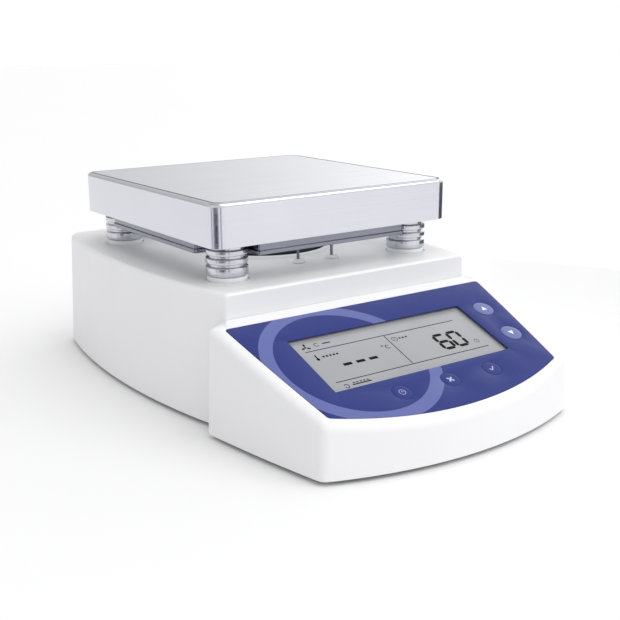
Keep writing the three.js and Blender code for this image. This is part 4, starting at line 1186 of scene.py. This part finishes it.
def power_switch():
    """Rocker switch: a frame with a well, and a rocker with a line above its middle and a ring below."""
    body, flange = fitting_outline(*SWITCH_BODY, 0.8, 0.8), fitting_outline(8.6, 11.6, 1.5, 1.5)
    mouth = fitting_outline(5.4, 8.4, 0.5, 0.5)
    panel_socket("switch_bezel", "switch_frame", body, flange, mouth, SWITCH_WELL)
    pivot = Matrix.Translation(Vector((0, 0, FLANGE)) * MM) @ Matrix.Rotation(-ROCKER_TILT, 4, "X")
    rocker_frame = panel_frame("switch_frame") @ pivot
    across = Matrix(((0, 0, 1), (1, 0, 0), (0, 1, 0))).to_4x4()
    wide, end = ROCKER_HALF
    section = [(-end, -2, 0.5), (0, -6, 2), (end, -2, 0.5), (end, 1, 0.9), (0, 0, 9), (-end, 1, 0.9)]
    cap = slab("rocker_cap", BLACK, rounded(section, 8), -wide, wide, 0.4, matrix=rocker_frame @ across)
    stand_for(cap, "rocker", "black_plastic", "switch_rocker")
    signs = {"line": (1, bar(0, -1.3, 0, 1.3, 0.5)), "ring": (-1, hoop(0, 0, 1.2, 0.45, 24))}
    for name, (side, sign) in signs.items():
        shift = Matrix.Translation(Vector((0, 4.2 * side, 0.6)) * MM)
        place = rocker_frame @ shift @ Matrix.Rotation(ROCKER_SLOPE * side, 4, "X")
        flat_marks(f"rocker_{name}", INK_WHITE, [sign], 0, "rocker", "black_plastic", 0.05, place)


THREAD_PITCH = 0.9
THREAD_DEPTH = 0.16  # share of the shank's radius


def screw(name, node, head, shank, seat):
    """A screw that is driven from below: a domed head with a cross in it, and a threaded shank."""
    builder = Builder()
    place = Vector(spot(node))
    bottom, tip = heights(node)
    size = head * 0.55
    cross_outline = rounded([(*c, size * 0.08) for c in cross_corners(size, size * 0.28)], 2)
    mouth, floor = [[place + p * share for p in cross_outline] for share in (1, 0.7)]
    recess = builder.walls([(mouth, bottom), (floor, bottom + 1)])
    builder.fill(recess[1])
    rise = seat - bottom
    profile = [(head * 0.72, bottom), (head * 0.9, bottom + rise * 0.25), (head, bottom + rise * 0.65)]
    profile += [(head, seat - 0.1), (head - 0.1, seat), (shank, seat), (shank, seat + 1)]
    root = shank * (1 - THREAD_DEPTH)
    turn = ((root, 0.35), (root, 0.5), (shank, 0.9), (shank, 1))
    z = seat + 1
    while z < tip - 2 * THREAD_PITCH:
        profile += [(r, z + THREAD_PITCH * part) for r, part in turn]
        z += THREAD_PITCH
    profile += [(root, tip - 1), (shank * 0.5, tip)]
    rings = builder.turned(profile, *place, 28)
    builder.fill(rings[0], recess[0])
    builder.fill(rings[-1])
    stand_for(builder.finish(name, ZINC), "base", "zinc_plated", node)


CASE_SCREW = (3.0, 1.4)  # radius of the head and of the shank
POST_BOLT = (5.0, 2.5)
BOLT_HEAD = 4.0


def screws():
    for i in CORNERS:
        screw(f"case_screw_{i}", f"base_screw_{i}", *CASE_SCREW, BASE_Z)
        screw(f"bolt_{i}", f"post_bolt_{i}", *POST_BOLT, low(f"post_bolt_{i}").z + BOLT_HEAD)
    for i in PAIR:
        screw(f"nose_screw_{i}", f"console_screw_{i}", *CASE_SCREW, BASE_Z)


def feet():
    """Rubber feet with a dished screw hole in the middle."""
    for i in CORNERS:
        node = f"foot_{i}"
        radius = high(node).x - middle(node).x
        profile = [(1.8, 1.5), (2.4, 0.5), (3.2, 0)] + quarter((radius - 1, 1), 1, -90, 0)
        profile += [(radius, BASE_Z - 0.2), (radius - 0.2, BASE_Z)]
        stand_for(lathe(f"foot_pad_{i}", RUBBER, profile, 40, spot(node)), "base", "foot_rubber", node)


# ---------------------------------------------------------------- works inside the housing

MAGNET_PLACE = 25.0
MAGNET_POCKET = 11.1
LEAD_HOLE = 1.6


def box_outline(node, radius, steps=6):
    """A rounded rectangle as large as a node, seen from above."""
    a, b = low(node), high(node)
    return rectangle(a.x, b.x, a.y, b.y, radius, steps)


def pin(name, node, material, slot, body="base", bevel=0.4, count=32):
    """A turned pin with bevelled ends, as wide and as tall as its node."""
    z0, z1 = heights(node)
    radius = high(node).x - middle(node).x
    profile = [(radius - bevel, z0), (radius, z0 + bevel), (radius, z1 - bevel), (radius - bevel, z1)]
    stand_for(lathe(name, material, profile, count, spot(node)), body, slot, node)


def axis_hole(radius, count):
    """A round hole at the stirring axis."""
    return circle(radius, 0, AXIS_Y, count)[::-1]


def heater():
    """Cast spreader, mica heater ring, wool pad, sensor and the two leads, under the top plate."""
    spreader = slab("spreader", CAST, box_outline("heat_spreader", 4), *heights("heat_spreader"), 0.8)
    stand_for(spreader, "base", "cast_aluminium", "heat_spreader")
    disc = circle(80, 0, AXIS_Y, 96)
    ring = slab("heater_ring", MICA, disc, *heights("heating_element"), 0.4, [axis_hole(24, 64)])
    stand_for(ring, "base", "mica", "heating_element")
    holes = [circle(LEAD_HOLE, *spot(f"heater_lead_{i}"), 16)[::-1] for i in PAIR]
    outline = notched_square(high("insulation_pad").x, 2.7, 2, 2)
    pad = slab("wool_pad", WOOL, outline, *heights("insulation_pad"), 0.9, [axis_hole(12, 32), *holes])
    stand_for(pad, "base", "mineral_wool", "insulation_pad")
    pin("sensor", "temperature_sensor", ZINC, "zinc_plated")
    for i in PAIR:
        pin(f"lead_{i}", f"heater_lead_{i}", DARK_STEEL_AND_GROOVE_SHADE, "zinc_plated", bevel=0.2, count=20)


def magnet_rotor():
    """Motor shaft, keeper bar, carrier disc with two pockets, and the magnets in them."""
    pin("shaft", "motor_shaft", STEEL, "zinc_plated", "rotor")
    z0, z1 = heights("magnet_carrier")
    radius = high("magnet_carrier").x
    builder = Builder()
    profile = [(radius - 0.6, z0), (radius, z0 + 0.6)] + quarter((radius - 1.2, z1 - 1.2), 1.2, 0, 90)
    outer = builder.turned(profile, 0, AXIS_Y, 96)
    bore = builder.turned([(SHAFT_HOLE, z0), (SHAFT_HOLE, z1 - 2)], 0, AXIS_Y, 24)
    builder.fill(outer[0], bore[0])
    builder.fill(bore[1])
    pocket = [(MAGNET_POCKET + SOFT, z1), (MAGNET_POCKET, z1 - SOFT), (MAGNET_POCKET, z0 + 2)]
    pockets = [builder.turned(pocket, x, AXIS_Y, 48) for x in (-MAGNET_PLACE, MAGNET_PLACE)]
    for rings in pockets:
        builder.fill(rings[-1])
    builder.fill(outer[-1], *[rings[0] for rings in pockets])
    stand_for(builder.finish("carrier_disc", CARRIER), "rotor", "carrier_black", "magnet_carrier")
    for i in PAIR:
        pin(f"magnet_disc_{i}", f"magnet_{i}", FERRITE, "ferrite", "rotor", 0.8, 48)
    outline, hole = box_outline("keeper_bar", 4), axis_hole(SHAFT_HOLE, 24)
    keeper = slab("keeper", ZINC, outline, *heights("keeper_bar"), 0.4, [hole])
    stand_for(keeper, "rotor", "zinc_plated", "keeper_bar")


MOTOR_BORE_Z = 52.7
MOTOR_COLLAR = 8.7
COLLAR_HEIGHT = 2.0
BRACKET_SHEET = 2.0
BRACKET_HALF = 48.0
BEND = (1.5, 3.5)  # inner and outer radius of the bracket's bends


def motor():
    """Motor can with two rolled beads and a bored collar."""
    z0, z1 = heights("motor")
    top = z1 - COLLAR_HEIGHT
    radius = high("motor").x
    profile = [(SHAFT_HOLE, MOTOR_BORE_Z), (SHAFT_HOLE, z1), (MOTOR_COLLAR - SOFT, z1)]
    profile += [(MOTOR_COLLAR, z1 - SOFT), (MOTOR_COLLAR, top)] + quarter((radius - 2, top - 2), 2, 90, 0)
    for z in (top - 6, z0 + 8):
        profile += [(radius, z), (radius - 0.7, z - 0.7), (radius - 0.7, z - 1.5), (radius, z - 2.2)]
    profile += quarter((radius - 3, z0 + 3), 3, 0, -90)
    stand_for(lathe("motor_can", MOTOR, profile, 96, (0, AXIS_Y)), "base", "motor_case", "motor")


def motor_bracket():
    """Bent sheet that the motor hangs from: a bridge with two legs and feet, and a hole for the collar."""
    a, b = low("motor_bracket"), high("motor_bracket")
    inner, outer = BEND
    half, wide, foot = BRACKET_HALF, BRACKET_HALF + BRACKET_SHEET, b.x
    foot_top = a.z + BRACKET_SHEET
    right = [(half, b.z - BRACKET_SHEET, inner), (half, a.z, outer), (foot, a.z, 0)]
    right += [(foot, foot_top, 0), (wide, foot_top, inner), (wide, b.z, outer)]
    depth = b.y - a.y
    upright = Matrix(((1, 0, 0), (0, 0, -1), (0, 1, 0))).to_4x4()
    place = Matrix.Translation(Vector((0, AXIS_Y, 0)) * MM) @ upright
    sheet = slab("bracket", SHEET, rounded(mirrored(right), 6), -depth / 2, depth / 2, 0.2, matrix=place)
    hole = [(MOTOR_COLLAR + GAP, b.z - CUT_REACH), (MOTOR_COLLAR + GAP, b.z + CUT_REACH)]
    subtract(sheet, [lathe("tool", TOOL_LOOK, hole, 48, (0, AXIS_Y))])
    stand_for(sheet, "base", "sheet_steel", "motor_bracket")


SCREW_HOLE = 1.7
SHEET_GAP = 0.6


def base_sheets():
    """Bottom sheets of the two housings, with their screw holes."""
    body = clipped(shrunk(body_corners(), WALL + SHEET_GAP, WALL, 4), SEAM_Y + WALL + SHEET_GAP + GAP, 1)
    console = clipped(shrunk(console_corners(), WALL + SHEET_GAP, WALL, 4), SEAM_Y - WALL - SHEET_GAP, -1)
    sheets = {
        "base_plate": (body, [f"base_screw_{i}" for i in CORNERS]),
        "console_base": (console, [f"console_screw_{i}" for i in PAIR]),
    }
    for node, (outline, fasteners) in sheets.items():
        holes = [circle(SCREW_HOLE, *spot(n), 16)[::-1] for n in fasteners]
        piece = slab(node + "_sheet", SHEET, outline, *heights(node), 0.3, holes)
        stand_for(piece, "base", "sheet_steel", node)


def on_board(name, material, slot, limits, z0, z1, matrix=None, radius=0.5, edge=0.3):
    """A moulded block on a circuit board."""
    outline = rectangle(*limits, radius, 3)
    stand_for(slab(name, material, outline, z0, z1, edge, matrix=matrix), "base", slot)


BOARD_SCREW_MARGIN = 5.0
KEY_SWITCH_HALF = 3.0
KEY_SWITCH_HEIGHT = 2.4
CONTROLLER = (-9.0, 9.0, -62.0, -44.0)
CONTROLLER_LEGS = 14
LEG_PITCH = 1.2
LEG_HALF = (1.5, 0.25)


def display():
    """Display glass and the light behind it."""
    glass = slab("lcd", DISPLAY, face_area(GLASS), GLASS_TOP - GLASS_THICK, GLASS_TOP, 0.3, matrix=FACE)
    stand_for(glass, "base", "display_glass", "display_glass")
    top = GLASS_TOP - GLASS_THICK - GAP
    light = slab("lcd_light", DIFFUSER, face_area(GLASS, 1, 2.0), top - LIGHT_THICK, top, 0.5, matrix=FACE)
    stand_for(light, "base", "diffuser", "display_backlight")


def control_electronics():
    """Control board: a switch under each key, and on the other side a socket and a controller with legs."""
    x0, x1, s0, s1 = BOARD_AREA
    m, under = BOARD_SCREW_MARGIN, BOARD_TOP - BOARD_THICK
    holes = [circle(SCREW_HOLE, x, -s, 16)[::-1] for x in (x0 + m, x1 - m) for s in (s0 + m, s1 - m)]
    board = slab("control_card", BOARD, face_area(BOARD_AREA, 0, 1.5), under, BOARD_TOP, 0.2, holes, FACE)
    stand_for(board, "base", "board_green", "control_board")
    half, top = KEY_SWITCH_HALF, BOARD_TOP + KEY_SWITCH_HEIGHT
    for name, (x, s, _) in KEYS.items():
        limits = (x - half, x + half, -s - half, -s + half)
        on_board(name + "_switch", BLACK, "black_plastic", limits, BOARD_TOP, top, FACE)
        profile = [(1.6, top), (1.6, top + 0.7), (1.4, top + 0.9)]
        plunger = lathe(name + "_plunger", NYLON, profile, 20, (x, -s), matrix=FACE)
        stand_for(plunger, "base", "black_plastic")
    on_board("board_socket", NYLON, "board_green", (-20, 20, -34, -26), under - 8, under, FACE)
    on_board("controller", BLACK, "board_green", CONTROLLER, under - 1.8, under, FACE, 0.8)
    wide, thin = LEG_HALF
    for i in range(CONTROLLER_LEGS):
        y = CONTROLLER[2] + LEG_PITCH * (i + 1)
        for side, x in (("a", -10.4), ("b", 10.4)):
            limits = (x - wide, x + wide, y - thin, y + thin)
            name = f"controller_leg_{i}_{side}"
            on_board(name, STEEL, "board_green", limits, under - 0.5, under, FACE, 0.1, 0.08)


def power_board():
    """Supply board on four legs, with its heat sink, relay, capacitors and terminal block."""
    a, b = low("power_board"), high("power_board")
    bottom = a.z + 5.4
    top = bottom + BOARD_THICK
    card = slab("power_card", BOARD, box_outline("power_board", 1.5), bottom, top, 0.2)
    stand_for(card, "base", "board_green", "power_board")
    leg = [(2.2, a.z), (2.5, a.z + 0.3), (2.5, bottom - 0.2), (2.3, bottom)]
    places = [(x, y) for y in (a.y + 4, b.y - 4) for x in (a.x + 4, b.x - 4)]
    for number, place in enumerate(places, 1):
        stand_for(lathe(f"power_leg_{number}", NYLON, leg, 24, place), "base", "board_green")
    heat_sink(AXIS_Y + 58, top)
    terminals = (-46, -20, AXIS_Y + 54, AXIS_Y + 66)
    on_board("terminal_block", NYLON, "board_green", terminals, top, top + 12, radius=0.8)
    on_board("relay", BLACK, "board_green", (-4, 14, AXIS_Y + 60, AXIS_Y + 96), top, top + 8, radius=1.0)
    can = [(5.7, top), (6, top + 0.4), (5.7, top + 1.2), (6, top + 2), (6, top + 13.2)]
    can += quarter((5.2, top + 13.2), 0.8, 0, 90, 4)[1:] + [(4.6, top + 13.6)]
    for number, x in enumerate((-36, -20), 1):
        stand_for(lathe(f"capacitor_{number}", CARRIER, can, 32, (x, AXIS_Y + 84)), "base", "board_green")


SINK_FINS = 7
SINK_PITCH = 6
SINK_FIN = 2
SINK_HEIGHT = 9


def heat_sink(front, bottom):
    """A comb-shaped heat sink: fins from a back wall, along the side of the supply board."""
    comb = [(-78, front)]
    for i in range(SINK_FINS):
        y = front + SINK_PITCH * i
        comb += [(-60, y), (-60, y + SINK_FIN), (-74, y + SINK_FIN), (-74, y + SINK_PITCH)]
    comb = comb[:-2] + [(-78, front + SINK_PITCH * (SINK_FINS - 1) + SINK_FIN)]
    sink = slab("heat_sink", CAST, [Vector(c) for c in comb], bottom, bottom + SINK_HEIGHT, 0.2)
    stand_for(sink, "base", "board_green")


def transformer():
    """Transformer: a stack of plates round a wound coil that stands out at both ends."""
    z0, z1 = heights("transformer")
    a, b = low("transformer"), high("transformer")
    core = slab("transformer_core", SHEET, rectangle(a.x, b.x, a.y + 10, b.y - 10, 1.0, 3), z0, z1, 0.5)
    stand_for(core, "base", "windings", "transformer")
    outline = rectangle(a.x + 8, b.x - 8, a.y, b.y, 7, 8)
    stand_for(slab("transformer_coil", WINDINGS, outline, z0 + 7, z0 + 29, 2.0), "base", "windings")


# ---------------------------------------------------------------- stage, lights and camera

FLOOR_HALF = 9000.0


def floor():
    builder = Builder()
    outline = rectangle(-FLOOR_HALF, FLOOR_HALF, -FLOOR_HALF, FLOOR_HALF)
    builder.fill(builder.level(outline, 0))
    look = Look("floor", (0.9, 0.9, 0.9), 0.6)
    look.vary_color(look.noise(3), 0.004)
    builder.finish("floor", look.material)


# Cards on the floor round the plate's front corners: the corner's x, and each card's start and end angle
# in degrees and its tone.
CARD_ARCS = [
    (-97.5, ((176, 186, 0.35), (192, 203, 0.3), (203, 226, 0.045), (226, 234, 0.3), (246, 256, 0.4))),
    (97.5, ((-36, 22, 0.08), (22, 40, 0.35))),
]
CARD_DISTANCE = 400.0
CARD_HEIGHT = 120.0


def cards():
    """Curved cards, seen only in mirroring surfaces. They draw the streaks at the plate's corners."""
    for corner_x, arcs in CARD_ARCS:
        centre = Vector((corner_x, AXIS_Y - abs(corner_x)))
        for start, end, tone in arcs:
            look = Look("card", (tone, tone, tone * 1.3), 0.8)
            look.vary_color(look.noise(20), 0.02)
            builder = Builder()
            angles = [math.radians(start + (end - start) * i / 12) for i in range(13)]
            line = [centre + Vector((math.cos(a), math.sin(a))) * CARD_DISTANCE for a in angles]
            lower, upper = builder.level(line, 1), builder.level(line, CARD_HEIGHT)
            for corners in zip(lower, lower[1:], upper[1:], upper):
                builder.bm.faces.new(corners)
            piece = builder.finish(f"card_{start % 360}", look.material)
            piece.visible_camera = piece.visible_diffuse = piece.visible_shadow = False


FILL_POWER = 0.05
FILL_SIZE = 150.0


def add_lamp(name, kind, power):
    data = bpy.data.lights.new(name, kind)
    data.energy = power
    lamp = bpy.data.objects.new(name, data)
    bpy.context.scene.collection.objects.link(lamp)
    return lamp


def fill_light():
    """A weak lamp that lifts the shadow between the hotplate and the deck."""
    lamp = add_lamp("fill", "AREA", FILL_POWER)
    lamp.data.size = FILL_SIZE * MM
    lamp.location = Vector((0, AXIS_Y, low("shield_tray").z - 1)) * MM
    lamp.visible_camera = lamp.visible_glossy = False


# Soft patches of light in the studio: direction, tightness and strength.
STUDIO_LIGHTS = [
    ((0.45, -0.62, 0.65), 3.0, 0.5),
    ((-0.9, -0.35, 0.3), 3.0, 0.22),
    ((0.0, 0.1, 1.0), 4.0, 0.32),
    ((0.85, 0.45, 0.22), 9.0, 1.05),
]
STUDIO_AMBIENT = 0.6
MIRRORED_CEILING = 0.6  # how bright the ceiling looks in mirrored surfaces


CEILING_HEIGHTS = (0.6, 0.85)  # how steep a direction is where the ceiling's tone starts and is full
BACKDROP = 1.02


def world():
    """White to the camera. The object is lit and mirrored by an even tone with a few broad soft patches."""
    made = bpy.data.worlds.new("studio")
    made.use_nodes = True
    tree = made.node_tree
    direction = add_node(tree, "TexCoord").outputs["Generated"]

    def calculate(operation, *values):
        return add_node(tree, "Math", dict(enumerate(values)), operation=operation).outputs[0]

    def choose(ray, otherwise, value):
        return add_node(tree, "Mix", {0: rays[ray], 2: otherwise, 3: value}, data_type="FLOAT").outputs[0]

    level = STUDIO_AMBIENT
    for aim, tightness, strength in STUDIO_LIGHTS:
        inputs = {0: direction, 1: Vector(aim).normalized()}
        facing = add_node(tree, "VectorMath", inputs, operation="DOT_PRODUCT").outputs["Value"]
        patch = calculate("POWER", calculate("MAXIMUM", facing, 0.0), tightness)
        level = calculate("MULTIPLY_ADD", patch, strength, level)
    rays = add_node(tree, "LightPath").outputs
    height = add_node(tree, "SeparateXYZ", {0: direction}).outputs["Z"]
    start, full = CEILING_HEIGHTS
    inputs = {"Value": height, 1: start, 2: full, 3: 1.0, 4: MIRRORED_CEILING}
    ceiling = add_node(tree, "MapRange", inputs, interpolation_type="SMOOTHSTEP").outputs[0]
    seen = choose("Is Glossy Ray", level, calculate("MULTIPLY", level, ceiling))
    background = tree.nodes["Background"]
    background.inputs["Color"].default_value = (1, 1, 1, 1)
    tree.links.new(choose("Is Camera Ray", seen, BACKDROP), background.inputs["Strength"])
    bpy.context.scene.world = made


SUN_POWER = 0.9
SUN_AIM = (0.35, -0.55, 0.9)
SUN_SOFTNESS = math.radians(60)


def sun():
    """A broad distant light, so that the floor is lit alike everywhere."""
    lamp = add_lamp("sun", "SUN", SUN_POWER)
    lamp.data.angle = SUN_SOFTNESS
    lamp.rotation_euler = Vector(SUN_AIM).to_track_quat("Z", "Y").to_euler()


CAMERA_PLACE = (-400.1, AXIS_Y - 621.65, BASE_Z + 236.56)
CAMERA_TURN = (-35.56, 15.21, -0.23)  # azimuth, elevation and roll, in degrees
CAMERA_LENS = 57.98
CAMERA_SENSOR = 36.0


def camera():
    """Camera at the front left, a little above the hotplate."""
    azimuth, elevation, roll = (math.radians(a) for a in CAMERA_TURN)
    level = math.cos(elevation)
    back = Vector((math.sin(azimuth) * level, -math.cos(azimuth) * level, math.sin(elevation)))
    data = bpy.data.cameras.new("camera")
    data.sensor_width = CAMERA_SENSOR
    data.lens = CAMERA_LENS
    made = bpy.data.objects.new("camera", data)
    bpy.context.scene.collection.objects.link(made)
    turn = back.to_track_quat("Z", "Y").to_matrix().to_4x4() @ Matrix.Rotation(roll, 4, "Z")
    made.matrix_world = Matrix.Translation(Vector(CAMERA_PLACE) * MM) @ turn
    bpy.context.scene.camera = made


STAGE = (world, floor, cards, camera, sun, fill_light)
OUTSIDE = (rear_housing, console_housing, control_overlay, key_caps, key_marks, display_marks, top_plate,
           posts, bushings, shield_tray, mains_inlet, fuse_holder, power_switch, screws, feet)
INSIDE = (heater, magnet_rotor, motor, motor_bracket, base_sheets, display, control_electronics, power_board,
          transformer)
for make in STAGE + OUTSIDE + INSIDE:
    make()
bpy.context.scene.view_settings.view_transform = "Standard"
